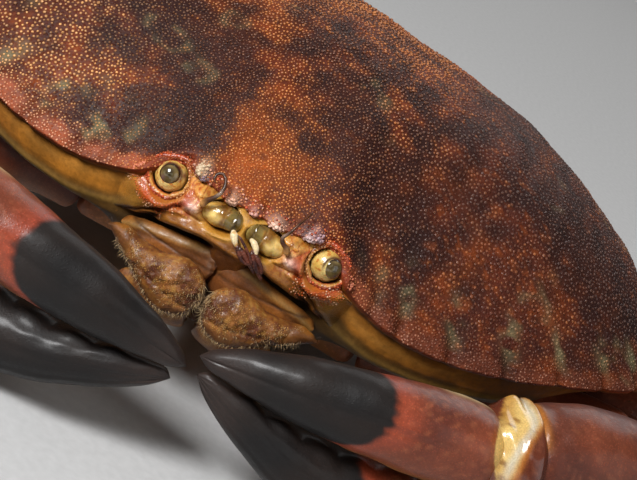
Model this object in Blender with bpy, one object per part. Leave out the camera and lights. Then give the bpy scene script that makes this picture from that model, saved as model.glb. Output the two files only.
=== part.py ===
"""Brown crab (Cancer pagurus), life size, standing on its legs and resting its folded claws on the floor.

Everything is laid out in millimetres and written in metres. While it is laid out, x runs towards the crab's
left, y runs backwards from the front edge of the shell and z runs up from the floor. The whole animal then
hangs on one empty, which moves the middle of its box to the origin. The crab looks along -Y.
"""

import math

import bmesh
import bpy
import numpy as np
from mathutils import Matrix, Vector

MM = 0.001
GAP = 0.4  # clear space round a piece that sits in a socket
WIDTH = 200.0  # carapace, side to side
FRONT_DEPTH = 0.30 * WIDTH  # from the front edge back to the widest line
REAR_DEPTH = 0.33 * WIDTH  # from the widest line back to the rear edge
REAR_CLIP = 0.31 * WIDTH  # the rear edge is cut straight here
CROWN_HEIGHT = 78.0  # top of the shell above the floor
BELLY_HEIGHT = 20.0  # flat underside of the shell, over the leg bases
EYE_SPACING = 0.175 * WIDTH
EYE_HEIGHT = 44.0

COLOURS = {
    "shell": ((0.30, 0.085, 0.035), 0.55),
    "belly": ((0.62, 0.45, 0.26), 0.55),
    "mouth": ((0.42, 0.20, 0.05), 0.45),
    "stalk": ((0.72, 0.55, 0.28), 0.35),
    "cornea": ((0.03, 0.03, 0.015), 0.12),
    "feeler": ((0.32, 0.14, 0.08), 0.5),
    "claw": ((0.33, 0.10, 0.06), 0.5),
    "leg": ((0.28, 0.09, 0.05), 0.55),
}


# ---------------------------------------------------------------- scene helpers


def clear_scene():
    for obj in list(bpy.data.objects):
        bpy.data.objects.remove(obj)


def new_collection(name, helper=False):
    made = bpy.data.collections.new(name)
    bpy.context.scene.collection.children.link(made)
    made.hide_render = helper
    return made


def material(name):
    if name in bpy.data.materials:
        return bpy.data.materials[name]
    colour, roughness = COLOURS[name]
    made = bpy.data.materials.new(name)
    made.use_nodes = True
    shader = made.node_tree.nodes["Principled BSDF"]
    shader.inputs["Base Color"].default_value = (*colour, 1.0)
    shader.inputs["Roughness"].default_value = roughness
    shader.inputs["Metallic"].default_value = 0.0
    return made


def shaped_sphere(around, rings, place):
    """A sphere of that many segments and rings, with each vertex put at place(ring, angle)."""
    bm = bmesh.new()
    bmesh.ops.create_uvsphere(bm, u_segments=around, v_segments=rings, radius=1.0)
    for vertex in bm.verts:
        ring = round(math.acos(max(-1.0, min(1.0, vertex.co.z))) / math.pi * rings)
        angle = math.atan2(vertex.co.y, vertex.co.x)
        vertex.co = Vector(place(ring, angle))
    face_outward(bm)
    return bm


def face_outward(bm):
    bmesh.ops.recalc_face_normals(bm, faces=bm.faces)
    if bm.calc_volume(signed=True) < 0:
        bmesh.ops.reverse_faces(bm, faces=bm.faces)


def add_piece(name, bm, colour, side=1, floor=False):
    """Makes the object from a mesh laid out in millimetres on the left side, and mirrors it for side -1."""
    if side < 0:
        bmesh.ops.scale(bm, vec=(-1, 1, 1), verts=bm.verts)
        bmesh.ops.reverse_faces(bm, faces=bm.faces)
    if floor:
        stand_on_floor(bm)
    bmesh.ops.scale(bm, vec=(MM, MM, MM), verts=bm.verts)
    mesh = bpy.data.meshes.new(name)
    bm.to_mesh(mesh)
    bm.free()
    obj = bpy.data.objects.new(name, mesh)
    parts.objects.link(obj)
    obj.data.materials.append(material(colour))
    obj.data.shade_smooth()
    obj.parent = root
    return obj


def stand_on_floor(bm):
    """Cuts off what reaches under the floor, which leaves a small flat to stand on."""
    geometry = bm.verts[:] + bm.edges[:] + bm.faces[:]
    cut = bmesh.ops.bisect_plane(
        bm, geom=geometry, plane_co=(0, 0, 0), plane_no=(0, 0, -1), clear_outer=True
    )
    rim = [item for item in cut["geom_cut"] if isinstance(item, bmesh.types.BMEdge)]
    if rim:
        bmesh.ops.holes_fill(bm, edges=rim)
        face_outward(bm)


def cut_socket(body, piece, gap=GAP):
    """Takes the piece, grown by the gap, out of the body."""
    bm = bmesh.new()
    bm.from_mesh(piece.data)
    bm.normal_update()
    for vertex in bm.verts:
        vertex.co += vertex.normal * gap * MM
    mesh = bpy.data.meshes.new(piece.name + "_socket")
    bm.to_mesh(mesh)
    bm.free()
    cutter = bpy.data.objects.new(mesh.name, mesh)
    cutters.objects.link(cutter)
    cutter.parent = root
    cutter.hide_render = True
    cutter.display_type = "WIRE"
    cut = body.modifiers.new("Cut " + piece.name, "BOOLEAN")
    cut.operation = "DIFFERENCE"
    cut.solver = "EXACT"
    cut.object = cutter


# ---------------------------------------------------------------- limb helpers


def frame(start, end, up):
    """A matrix with its origin at start, X towards end, Z as near to up as it can be."""
    x = (Vector(end) - Vector(start)).normalized()
    y = Vector(up).cross(x).normalized()
    z = x.cross(y)
    turn = Matrix((x, y, z)).transposed().to_4x4()
    return Matrix.Translation(start) @ turn


def limb_mesh(stations, around, matrix, squareness=0.9):
    """A closed limb piece. A station is (along, sideways, up, half thickness, half height), and the two end
    stations have no size. Squareness under 1 fills out the corners of the section."""

    def place(ring, angle):
        along, sideways, up, thick, high = stations[ring]
        c, s = math.cos(angle), math.sin(angle)
        wide = math.copysign(abs(c) ** squareness, c)
        tall = math.copysign(abs(s) ** squareness, s)
        return matrix @ Vector((along, sideways - thick * wide, up + high * tall))

    return shaped_sphere(around, len(stations) - 1, place)


def scaled(profile, length, thick, high):
    """Stations from a profile of (share of length, share of thickness, share of height, rise)."""
    return [
        (share * length, 0.0, rise * high, wide * thick, tall * high)
        for share, wide, tall, rise in profile
    ]


def along_path(points, across=(1, 0, 0)):
    """Places the rings of a piece along a bent path. A point is (x, y, z, half width, half thickness), and the
    width runs in the across direction. The first and last points close the ends."""
    centres = [Vector(p[:3]) for p in points]

    def place(ring, angle):
        before = centres[max(ring - 1, 0)]
        after = centres[min(ring + 1, len(points) - 1)]
        ahead = (after - before).normalized()
        wide = Vector(across)
        wide = (wide - ahead * wide.dot(ahead)).normalized()
        width, thickness = points[ring][3:]
        return (
            centres[ring]
            + wide * width * math.cos(angle)
            + wide.cross(ahead) * thickness * math.sin(angle)
        )

    return place


# ---------------------------------------------------------------- the shell

# Where the segments of the shell stand, in degrees from the front. The front has its teeth and orbit, then
# come ten lobes of three segments each, then the smooth rear.
FRONT_ANGLES = [0.0, 2.3, 4.7, 8.1, 12.2, 16.3, 22.0]
LOBE_ENDS = [22.0, 28.0, 34.0, 43.5, 52.8, 61.0, 68.5, 75.0, 80.5, 85.5, 90.0]
FRONT_REACH = [3.2, 1.2, 2.6, 0.6, 2.0, -1.0, 1.0]  # teeth stand forward, the orbit goes back
STEP = 3.75  # degrees between segments of the sphere that the shell is shaped from
AROUND = 96
NOTCH_DEPTH = 2.2
MARGIN_ANGLES = [0, 12, 16, 22, 28, 34, 43.5, 52.8, 61, 68.5, 90, 120, 150, 180]
MARGIN_HEIGHTS = [47.5, 47.5, 45, 42, 39.5, 37.5, 37, 38.5, 41, 42.5, 45, 44, 40, 38]
DOME_SHARES = [0.0, 0.2, 0.5, 0.76, 0.93, 1.0]  # rings of the upper side, as shares of the radius
# Rings of the underside, as (share of the radius, share of the way down), at the sides and at the face.
SIDE_RINGS = [(0.975, 0.10), (0.90, 0.25), (0.77, 0.42), (0.60, 0.62), (0.42, 0.96), (0, 1.0)]
FACE_RINGS = [(0.955, 0.12), (0.93, 0.32), (0.95, 0.5), (0.93, 0.85), (0.88, 1.0), (0, 1.0)]


def segment_angle(step_angle):
    """The true angle of a segment, in degrees from the front, from its even spacing on the sphere."""
    even = [STEP * i for i in range(len(FRONT_ANGLES))]
    even += [even[-1] + 3 * STEP * (i + 1) for i in range(len(LOBE_ENDS) - 1)] + [180.0]
    true = FRONT_ANGLES + LOBE_ENDS[1:] + [180.0]
    return float(np.interp(step_angle, even, true))


def shell_radius(degrees):
    """Plan radius of the smooth outline, from the middle of the widest line."""
    a = math.radians(degrees)
    across, ahead = abs(math.sin(a)), math.cos(a)
    half = WIDTH / 2
    if ahead >= 0:
        return 1 / math.hypot(across / half, ahead / FRONT_DEPTH)
    power = 1.6
    radius = ((across / half) ** power + (-ahead / REAR_DEPTH) ** power) ** (-1 / power)
    return min(radius, REAR_CLIP / max(-ahead, 1e-6))


def outline_offset(step_angle):
    """How far the teeth of the front and the lobes of the edge stand off the smooth outline."""
    index = round(step_angle / STEP)
    if index < len(FRONT_REACH):
        return FRONT_REACH[index]
    last_lobe = len(FRONT_REACH) - 1 + 3 * (len(LOBE_ENDS) - 1)
    if index <= last_lobe:
        return -NOTCH_DEPTH if (index - len(FRONT_REACH) + 1) % 3 == 0 else 1.0
    return 0.0


def dome(share):
    """Height of the upper side over its edge, as a share of the rise at the crown."""
    return (1 - share**2.3) ** 0.8


def carapace():
    sides = len(DOME_SHARES) - 1

    def place(ring, angle):
        even = abs(math.degrees(math.atan2(math.cos(angle), -math.sin(angle))))
        turn = math.radians(segment_angle(even))
        side = 1 if math.cos(angle) >= 0 else -1
        degrees = math.degrees(turn)
        edge = float(np.interp(degrees, MARGIN_ANGLES, MARGIN_HEIGHTS))
        radius, offset = shell_radius(degrees), outline_offset(even)
        if ring <= sides:
            share = DOME_SHARES[ring]
            height = edge + (CROWN_HEIGHT - edge) * dome(share)
            radius = radius * share + offset * share**12
        else:
            index = ring - sides - 1
            face = float(np.interp(degrees, [18, 34], [1, 0]))
            share, drop = (
                face * f + (1 - face) * s
                for f, s in zip(FACE_RINGS[index], SIDE_RINGS[index])
            )
            height = edge + (BELLY_HEIGHT - edge) * drop
            radius = radius * share + offset * (1 - drop) * (0 if index else 0.6)
        return (
            side * radius * math.sin(turn),
            FRONT_DEPTH - radius * math.cos(turn),
            height,
        )

    bm = shaped_sphere(AROUND, sides + len(SIDE_RINGS), place)
    return add_piece("carapace", bm, "shell")


# ---------------------------------------------------------------- underside

LEG_BASES = [(36.0, 44.0, 15.5), (37.0, 59.0, 14.0), (36.0, 73.5, 14.0), (33.0, 87.5, 14.0), (27.0, 100.0, 14.5)]
LEG_TURNS = [14.0, 9.0, -5.0, -20.0, -42.0]  # degrees forward of straight out; the claw leg comes first
HIP_REACH = 19.0  # the leg bases run this far in under the shell


def thorax():
    stations = [
        (0, 38.0, 14.0, 0, 0),
        (0, 38.6, 14.0, 12, 3.4),
        (0, 43.0, 14.0, 23, 5.2),
        (0, 62.0, 14.0, 26, 5.6),
        (0, 88.0, 14.0, 25, 5.6),
        (0, 104.0, 14.0, 17, 5.2),
        (0, 110.6, 14.0, 0, 0),
    ]
    bm = shaped_sphere(12, len(stations) - 1, along_path(stations))
    body = add_piece("thorax", bm, "belly")
    for side in (1, -1):
        for index, (base, turn) in enumerate(zip(LEG_BASES, LEG_TURNS)):
            out = Vector((math.cos(math.radians(turn)), -math.sin(math.radians(turn)), 0.05))
            end = Vector(base)
            matrix = frame(end - out * HIP_REACH, end, (0, 0, 1))
            rows = [(0, 0, 0), (0.5, 4.4, 3.6), (17.6, 5.2, 4.5), (18.6, 0, 0)]
            hip = limb_mesh([(x, 0, 0, w, h) for x, w, h in rows], 6, matrix)
            helper = add_piece(f"hip_{index}_{side}", hip, "belly", side)
            parts.objects.unlink(helper)
            cutters.objects.link(helper)
            helper.hide_render = True
            join = body.modifiers.new("Join hip", "BOOLEAN")
            join.operation = "UNION"
            join.solver = "EXACT"
            join.object = helper
    return body


def abdomen():
    stations = [
        (0, 123.0, 35.6, 0, 0),
        (0, 124.6, 34.6, 17, 1.5),
        (0, 127.0, 27.0, 19, 1.7),
        (0, 124.0, 18.0, 18, 1.7),
        (0, 114.6, 9.4, 16, 1.7),
        (0, 104.0, 6.0, 13.5, 1.5),
        (0, 84.0, 6.0, 9.5, 1.4),
        (0, 66.0, 6.2, 6, 1.2),
        (0, 58.0, 6.4, 0, 0),
    ]
    bm = shaped_sphere(12, len(stations) - 1, along_path(stations))
    return add_piece("abdomen", bm, "belly")


# ---------------------------------------------------------------- face


def side_name(name, side):
    return f"{name}_{'left' if side > 0 else 'right'}"


def eye(side):
    """The stalk fills the orbit, and the cornea caps its outer corner."""
    middle = Vector((EYE_SPACING / 2, 3.0, EYE_HEIGHT))
    matrix = frame(middle - Vector((-1.0, -8.0, 0.0)), middle, (0, 0, 1))
    rows = [(0, 0), (0.4, 1.6), (3, 2.7), (8, 3.1), (9.8, 2.6), (10.9, 1.4), (11.2, 0)]
    stalk = limb_mesh([(x, 0, 0, r, r) for x, r in rows], 12, matrix, 1.0)
    stalk = add_piece(side_name("eyestalk", side), stalk, "stalk", side)
    look = Vector((0.35, -0.9, 0.22))
    centre = middle + Vector((0.75, -1.1, 0.6))
    matrix = frame(centre, centre + look, (0, 0, 1))
    rows = [(-1.2, 0), (-1.1, 1.2), (0, 2.0), (1.3, 1.5), (1.9, 0)]
    cornea = limb_mesh([(x, 0, 0, r, r) for x, r in rows], 12, matrix, 1.0)
    cornea = add_piece(side_name("eye", side), cornea, "cornea", side)
    cut_socket(stalk, cornea, 0.3)
    return stalk, cornea


def antennule(side):
    """A round base in its pit under the front, and a short feeler that hangs from it."""
    path = [
        (4.9, 7.0, 44.0, 0, 0),
        (4.9, 6.6, 44.0, 1.8, 1.8),
        (4.9, 3.0, 43.8, 2.4, 2.7),
        (4.6, -0.6, 43.0, 2.1, 2.3),
    ]
    # Both feelers are folded towards the crab's left.
    if side > 0:
        path += [(3.4, -3.4, 41.9, 0.9, 0.9), (4.9, -4.5, 40.3, 0.5, 0.5), (6.4, -4.4, 39.0, 0.4, 0.4)]
        path += [(8.2, -4.0, 37.3, 0, 0)]
    else:
        path += [(1.9, -3.2, 42.4, 0.9, 0.9), (0.5, -4.4, 41.3, 0.5, 0.5), (-1.2, -4.7, 40.4, 0.4, 0.4)]
        path += [(-3.4, -4.4, 39.3, 0, 0)]
    bm = shaped_sphere(10, len(path) - 1, along_path(path))
    return add_piece(side_name("antennule", side), bm, "mouth", side)


def antenna(side):
    """A broad base between the orbit and the antennule, and a thin feeler laid back over the front."""
    path = [
        (11.4, 7.0, 41.6, 0, 0),
        (11.4, 6.6, 41.6, 1.6, 2.2),
        (11.2, 2.0, 41.8, 1.8, 2.9),
        (10.6, -1.4, 42.2, 1.5, 2.2),
        (9.6, -3.2, 44.6, 0.8, 0.9),
        (8.9, -3.6, 46.8, 0.5, 0.5),
        (8.6, -3.0, 49.0, 0.4, 0.4),
        (8.8, -1.6, 51.2, 0.35, 0.35),
        (9.0, -1.0, 52.0, 0, 0),
    ]
    bm = shaped_sphere(8, len(path) - 1, along_path(path))
    return add_piece(side_name("antenna", side), bm, "feeler", side)


def maxilliped(side):
    """One leaf of the double door that closes the mouth, bent from the face round to the underside."""
    path = [
        (10.4, 3.6, 31.4, 0, 0),
        (10.4, 2.6, 30.8, 7.6, 1.6),
        (10.0, 0.4, 27.6, 8.8, 2.6),
        (9.6, -0.4, 23.0, 8.6, 2.8),
        (9.2, 1.6, 18.6, 8.0, 2.4),
        (8.6, 8.0, 15.0, 7.6, 2.0),
        (8.0, 20.0, 13.4, 7.0, 1.8),
        (7.4, 33.0, 13.4, 5.8, 1.6),
        (7.2, 36.6, 13.4, 0, 0),
    ]
    bm = shaped_sphere(12, len(path) - 1, along_path(path))
    return add_piece(side_name("maxilliped", side), bm, "mouth", side)


# ---------------------------------------------------------------- claws

# Each claw is laid out with X from its wrist to its finger tips and Z towards its moving finger.
PALM_STATIONS = [
    (0.0, 0, 0.0, 0, 0),
    (0.8, 0, 0.0, 7.0, 8.0),
    (6.0, 0, -0.4, 9.8, 15.0),
    (16.0, 0, -1.2, 11.8, 20.4),
    (30.0, 0, -2.2, 12.6, 23.0),
    (42.0, 0, -3.4, 12.2, 22.4),
    (46.2, 0, -13.6, 10.8, 12.2),
    (57.0, 0.6, -14.0, 9.2, 10.6),
    (72.0, 2.2, -10.6, 7.8, 8.8),
    (87.0, 5.1, -5.0, 5.9, 6.5),
    (99.0, 9.0, 1.0, 3.5, 3.6),
    (104.5, 11.5, 4.4, 0, 0),
]
FINGER_STATIONS = [
    (47.2, 0.0, 8.0, 0, 0),
    (47.9, 0.0, 8.0, 6.8, 6.8),
    (53.0, 0.2, 8.5, 8.8, 8.6),
    (63.0, 1.0, 9.4, 8.2, 8.5),
    (75.0, 2.6, 10.3, 7.2, 7.7),
    (87.0, 5.1, 10.7, 5.8, 6.2),
    (98.0, 8.6, 10.1, 3.7, 3.8),
    (105.5, 11.8, 8.9, 0, 0),
]
WRIST_PROFILE = [
    (0.0, 0, 0, 0),
    (0.04, 0.42, 0.42, 0),
    (0.18, 0.80, 0.80, 0),
    (0.45, 1.0, 1.0, 0),
    (0.72, 0.94, 0.94, 0),
    (0.92, 0.56, 0.56, 0),
    (1.0, 0, 0, 0),
]
WRIST_SIZE = (18.5, 13.0, 14.5)  # half length, half thickness, half height
WRIST_SHIFT = (4.5, -1.0, 0.0)  # the wrist stands out past the ends of the arm and the palm
ARM_PROFILE = [
    (0.0, 0, 0, 0),
    (0.01, 0.55, 0.6, 0),
    (0.16, 0.62, 0.66, 0),
    (0.24, 0.85, 0.8, 0),
    (0.60, 1.0, 1.0, 0.04),
    (0.93, 0.9, 0.9, 0.06),
    (0.99, 0.6, 0.62, 0.02),
    (1.0, 0, 0, 0),
]
CLAW_POSES = {
    1: {"wrist": (105.8, 9.5, 32.4), "turn": 23.1, "dip": 9.6, "lean": -9.8},
    -1: {"wrist": (101.3, -9.6, 30.0), "turn": 15.6, "dip": 8.7, "lean": -11.2},
}
ARM_END = (97.8, 36.0, 29.0)


def claw(side):
    pose = CLAW_POSES[side]
    wrist = Vector(pose["wrist"])
    turn, dip = math.radians(pose["turn"]), math.radians(pose["dip"])
    ahead = Vector((-math.cos(turn) * math.cos(dip), -math.sin(turn) * math.cos(dip), -math.sin(dip)))
    lean = math.radians(pose["lean"])
    up = Vector((0, math.sin(lean), math.cos(lean)))
    matrix = frame(wrist, wrist + ahead, up)
    # On this side the local Y axis points to the back of the claw, so the stations bend towards the mouth.
    mirror = Matrix.Diagonal((1, -1, 1, 1))
    palm = limb_mesh(PALM_STATIONS, 14, matrix @ mirror, 0.86)
    palm = add_piece(side_name("claw_palm", side), palm, "claw", side, floor=True)
    finger = limb_mesh(FINGER_STATIONS, 12, matrix @ mirror, 0.9)
    add_piece(side_name("claw_finger", side), finger, "claw", side)
    drop = wrist - Vector(CLAW_POSES[1]["wrist"])
    arm_end = Vector(ARM_END) + drop * 0.8
    arm_start = Vector(LEG_BASES[0])
    matrix = frame(arm_start, arm_end, (0, 0, 1))
    arm = limb_mesh(scaled(ARM_PROFILE, (arm_end - arm_start).length, 8.4, 9.0), 10, matrix)
    arm = add_piece(side_name("claw_arm", side), arm, "claw", side)
    knob = wrist_mesh((arm_end + wrist) / 2 + Vector(WRIST_SHIFT), arm_end - wrist)
    knob = add_piece(side_name("claw_wrist", side), knob, "claw", side)
    cut_socket(knob, arm)
    cut_socket(knob, palm)


def wrist_mesh(centre, along):
    """The short rounded piece at the bend, which takes the ends of the arm and the palm."""
    along = along.normalized()
    matrix = frame(centre - along * WRIST_SIZE[0], centre, (0, 0, 1))
    rows = scaled(WRIST_PROFILE, 2 * WRIST_SIZE[0], WRIST_SIZE[1], WRIST_SIZE[2])
    return limb_mesh(rows, 12, matrix)


# ---------------------------------------------------------------- walking legs

MERUS_PROFILE = [
    (0.0, 0, 0, 0),
    (0.005, 0.56, 0.5, 0),
    (0.25, 0.90, 0.84, 0.02),
    (0.62, 1.0, 1.0, 0.05),
    (0.93, 0.92, 0.92, 0.03),
    (0.995, 0.76, 0.74, 0.0),
    (1.0, 0, 0, 0),
]
CARPUS_PROFILE = [
    (0.0, 0, 0, 0),
    (0.01, 0.55, 0.5, 0),
    (0.55, 1.0, 1.0, 0.06),
    (0.985, 0.82, 0.76, 0.04),
    (1.0, 0, 0, 0.04),
]
PROPODUS_PROFILE = [
    (0.0, 0, 0, 0),
    (0.01, 0.55, 0.5, 0),
    (0.24, 1.0, 1.0, 0.02),
    (0.75, 0.95, 0.92, 0.02),
    (0.99, 0.76, 0.72, 0),
    (1.0, 0, 0, 0),
]
DACTYL_PROFILE = [
    (0.0, 0, 0, 0),
    (0.01, 0.66, 0.64, 0.0),
    (0.2, 1.0, 1.0, 0.14),
    (0.55, 0.80, 0.76, 0.36),
    (0.92, 0.38, 0.36, 0.12),
    (1.0, 0, 0, 0),
]
LEG_PIECES = [  # name, profile, length, half thickness, half height, degrees above the level
    ("merus", MERUS_PROFILE, 73.0, 5.2, 8.0, 15.5),
    ("carpus", CARPUS_PROFILE, 28.0, 4.9, 7.0, 13.0),
    ("propodus", PROPODUS_PROFILE, 40.0, 4.5, 6.2, -20.0),
    ("dactyl", DACTYL_PROFILE, 39.0, 3.3, 4.0, None),  # goes down to the floor
]
LEG_SIZES = {1: 0.97, 2: 1.0, 3: 0.95, 4: 0.82}
NEST = 2.0  # each piece starts this far inside the one before it
TIP_SINK = 0.5  # the tip is cut off where it would reach this far under the floor


def leg(side, index):
    size = LEG_SIZES[index]
    turn = math.radians(LEG_TURNS[index])
    out = Vector((math.cos(turn), -math.sin(turn), 0))
    start = Vector(LEG_BASES[index]) + out * GAP
    before = None
    for name, profile, length, thick, high, slope in LEG_PIECES:
        length *= size
        if slope is None:
            sine = (start.z + TIP_SINK) / length
            slope = -math.degrees(math.asin(min(sine, 0.98)))
        rise = math.radians(slope)
        ahead = out * math.cos(rise) + Vector((0, 0, math.sin(rise)))
        end = start + ahead * length
        matrix = frame(start, end, (0, 0, 1))
        rows = scaled(profile, length, thick * size, high * size)
        bm = limb_mesh(rows, 8, matrix)
        piece = add_piece(side_name(f"leg{index}_{name}", side), bm, "leg", side, floor=name == "dactyl")
        if before:
            cut_socket(before, piece)
        before = piece
        start = end - ahead * NEST


# ---------------------------------------------------------------- the whole crab


def centre_on_origin():
    corners = [corner for obj in parts.objects if obj.type == "MESH" for corner in obj.bound_box]
    for axis in (0, 1):
        values = [corner[axis] for corner in corners]
        root.location[axis] = -(min(values) + max(values)) / 2


clear_scene()
parts = new_collection("brown_crab")
cutters = new_collection("cutters", helper=True)
root = bpy.data.objects.new("crab", None)
parts.objects.link(root)

shell = carapace()
thorax()
abdomen()
for side in (1, -1):
    stalk, cornea = eye(side)
    for piece in (stalk, cornea, antennule(side), antenna(side), maxilliped(side)):
        cut_socket(shell, piece)
    claw(side)
    for index in LEG_SIZES:
        leg(side, index)
centre_on_origin()
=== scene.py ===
import math

import bpy
import numpy as np
from mathutils import Matrix, Vector


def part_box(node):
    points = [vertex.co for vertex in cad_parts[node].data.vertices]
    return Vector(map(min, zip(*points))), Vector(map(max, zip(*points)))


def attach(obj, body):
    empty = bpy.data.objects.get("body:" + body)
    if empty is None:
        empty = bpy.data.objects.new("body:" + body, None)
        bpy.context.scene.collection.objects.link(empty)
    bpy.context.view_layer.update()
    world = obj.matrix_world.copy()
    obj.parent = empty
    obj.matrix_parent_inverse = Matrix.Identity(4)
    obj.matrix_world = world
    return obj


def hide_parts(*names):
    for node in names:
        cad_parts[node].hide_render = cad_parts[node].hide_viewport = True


# Lengths are in millimetres until a mesh is finished: x to the crab's left, y to its rear, z up from the floor.
# A piece of the crab's right side is shaped as a left one, in the places of its mirror image.
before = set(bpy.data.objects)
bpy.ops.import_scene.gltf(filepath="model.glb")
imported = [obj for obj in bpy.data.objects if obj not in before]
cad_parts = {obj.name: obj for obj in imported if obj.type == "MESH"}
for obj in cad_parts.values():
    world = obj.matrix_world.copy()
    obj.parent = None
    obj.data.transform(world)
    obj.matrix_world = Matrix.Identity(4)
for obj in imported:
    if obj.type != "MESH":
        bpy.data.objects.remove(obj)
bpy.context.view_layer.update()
bpy.ops.object.select_all(action="DESELECT")
mm = 0.001
rearEdge = 122.0  # where the shell's straight rear edge lies in the layout
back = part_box("carapace")[1].y / mm - rearEdge  # from the layout to the frame
middleNodes = ("carapace", "thorax", "abdomen")  # the nodes that have no left and right
print("frame loaded, layout moved back", round(back, 2), "mm")


# small tools


def smoothCurve(places, values, blur=0.0):
    # a line through the given values, its corners rounded over that length
    low, high = places[0], places[-1]
    count = 1200
    steps = np.linspace(low, high, count)
    table = np.interp(steps, places, values)
    reach = int(blur / (high - low) * count)
    if reach > 1:
        weights = np.hanning(2 * reach + 1)
        padded = np.pad(table, reach, mode="reflect", reflect_type="odd")
        table = np.convolve(padded, weights / weights.sum(), mode="valid")
    return lambda x: np.interp(x, steps, table)


def rowCurve(rows, blur):
    return smoothCurve(*np.array(rows, float).T, blur)


def waves(points, size, seed):
    # a smooth wandering value, mostly within -1 to 1, with features about that many millimetres across
    draw = np.random.default_rng(seed)
    total = np.zeros(len(points))
    for _ in range(14):
        way = draw.normal(size=3)
        way *= draw.uniform(0.6, 1.6) * math.pi / size / np.linalg.norm(way)
        total += np.sin(points @ way + draw.uniform(0, 2 * math.pi))
    return total / 3.7


def hill(distance, width):
    return np.exp(-((distance / width) ** 2))


def step(value, low, high):
    share = np.clip((value - low) / (high - low), 0, 1)
    return share * share * (3 - 2 * share)


def mound(x, z, middle, size, slope=0.0):
    # a hill with its own half width and half height, on ground that falls with the slope
    aside = x - middle[0]
    return hill(np.hypot(aside / size[0], (z - middle[1] + slope * aside) / size[1]), 1)


def columns(*parts):
    return np.column_stack(parts)


def upright(x, z):
    return columns(x, np.zeros(len(x)), z)


def rolled(along, angle, radius):
    # places on a skin round an axis, for waves to read
    return columns(along, radius * np.cos(angle), radius * np.sin(angle))


def paint(code):
    rgb = np.array([int(code[i : i + 2], 16) for i in (0, 2, 4)]) / 255
    return np.where(rgb <= 0.04045, rgb / 12.92, ((rgb + 0.055) / 1.055) ** 2.4)


def blend(first, second, amount):
    # either colour may be a code
    first, second = [paint(tone) if isinstance(tone, str) else tone for tone in (first, second)]
    amount = np.clip(np.atleast_1d(amount), 0, 1)[:, None]
    return first * (1 - amount) + second * amount


def layers(base, *coats):
    # lays each colour over those before it, with its strength
    for tone, amount in coats:
        base = blend(base, tone, amount)
    return base


def readPoints(piece):
    points = np.empty(len(piece.data.vertices) * 3)
    piece.data.vertices.foreach_get("co", points)
    return points.reshape(-1, 3)


def volume(mesh, points):
    # below nothing where the faces point inwards
    mesh.calc_loop_triangles()
    corners = np.empty(len(mesh.loop_triangles) * 3, int)
    mesh.loop_triangles.foreach_get("vertices", corners)
    first, second, third = (points - points.mean(axis=0))[corners.reshape(-1, 3).T]
    return np.sum(first * np.cross(second, third))


def sided(name, side):
    return f"{name}_{'left' if side > 0 else 'right'}"


def finishPiece(piece, points, colours, material, node=None, side=1, grainy=1.0):
    # paints the piece, writes layout points into its mesh, in metres in the frame, and hands it over
    layer = piece.data.color_attributes.new("tint", "FLOAT_COLOR", "POINT")
    rgba = np.empty((len(points), 4))
    rgba[:, 3] = grainy
    rgba[:, :3] = colours
    layer.data.foreach_set("color", rgba.ravel())
    placed = np.array(points, float) * (side, 1, 1)
    placed[:, 1] += back
    piece.data.vertices.foreach_set("co", (placed * mm).ravel())
    if volume(piece.data, placed) < 0:
        piece.data.flip_normals()
    piece.data.update()
    piece.data.shade_smooth()
    piece.data.materials.clear()
    piece.data.materials.append(material)
    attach(piece, "root")
    if node:
        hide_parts(node if node in middleNodes else sided(node, side))
    piece.select_set(False)


def addBall(name, around, rings, place):
    # a ball whose points go to place(share from pole to pole, angle round the axis)
    bpy.ops.mesh.primitive_uv_sphere_add(segments=around, ring_count=rings)
    piece = bpy.context.object
    piece.name = name
    piece.data.name = name
    points = readPoints(piece)
    share = np.round(np.arccos(np.clip(points[:, 2], -1, 1)) / math.pi * rings) / rings
    angle = np.arctan2(points[:, 1], points[:, 0])
    return piece, place(share, angle), share, angle


# materials


def put(tree, kind, sockets=(), **settings):
    made = tree.nodes.new("ShaderNode" + kind)
    for key, value in settings.items():
        setattr(made, key, value)
    for key, value in dict(sockets).items():
        if isinstance(value, bpy.types.NodeSocket):
            tree.links.new(value, made.inputs[key])
        else:
            made.inputs[key].default_value = value
    return made.outputs


def newMaterial(name, roughness, coat=0.0, coatRoughness=0.2, specular=0.5):
    # also gives the place in millimetres and the painted tint
    made = bpy.data.materials.new(name)
    made.use_nodes = True
    tree = made.node_tree
    shader = tree.nodes["Principled BSDF"]
    shader.inputs["Roughness"].default_value = roughness
    shader.inputs["Coat Weight"].default_value = coat
    shader.inputs["Coat Roughness"].default_value = coatRoughness
    shader.inputs["Specular IOR Level"].default_value = specular
    place = put(tree, "Mapping", {"Vector": put(tree, "TexCoord")["Object"], "Scale": (1 / mm,) * 3})
    return made, tree, shader, place["Vector"], put(tree, "Attribute", attribute_name="tint")


def feed(shader, name, value):
    shader.id_data.links.new(value, shader.inputs[name])


def soften(shader, weight, radius, scale):
    shader.inputs["Subsurface Weight"].default_value = weight
    shader.inputs["Subsurface Radius"].default_value = radius
    shader.inputs["Subsurface Scale"].default_value = scale * mm


def noise(tree, place, scale, detail, roughness=0.5):
    sockets = {"Vector": place, "Scale": scale, "Detail": detail, "Roughness": roughness}
    return put(tree, "TexNoise", sockets)["Fac"]


def mixed(tree, first, second, amount, how="MULTIPLY"):
    sockets = {"Factor": amount, 6: first, 7: second}  # 6 and 7 are the colour sockets
    return put(tree, "Mix", sockets, data_type="RGBA", blend_type=how)[2]


def ramp(tree, value, *stops):
    # stops are (place, grey level or colour)
    outputs = put(tree, "ValToRGB", {"Fac": value})
    band = outputs[0].node.color_ramp
    for element, (place, level) in zip(band.elements, stops):
        element.position = place
        element.color = (level, level, level, 1) if isinstance(level, (int, float)) else (*level, 1)
    return outputs["Color"]


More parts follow.
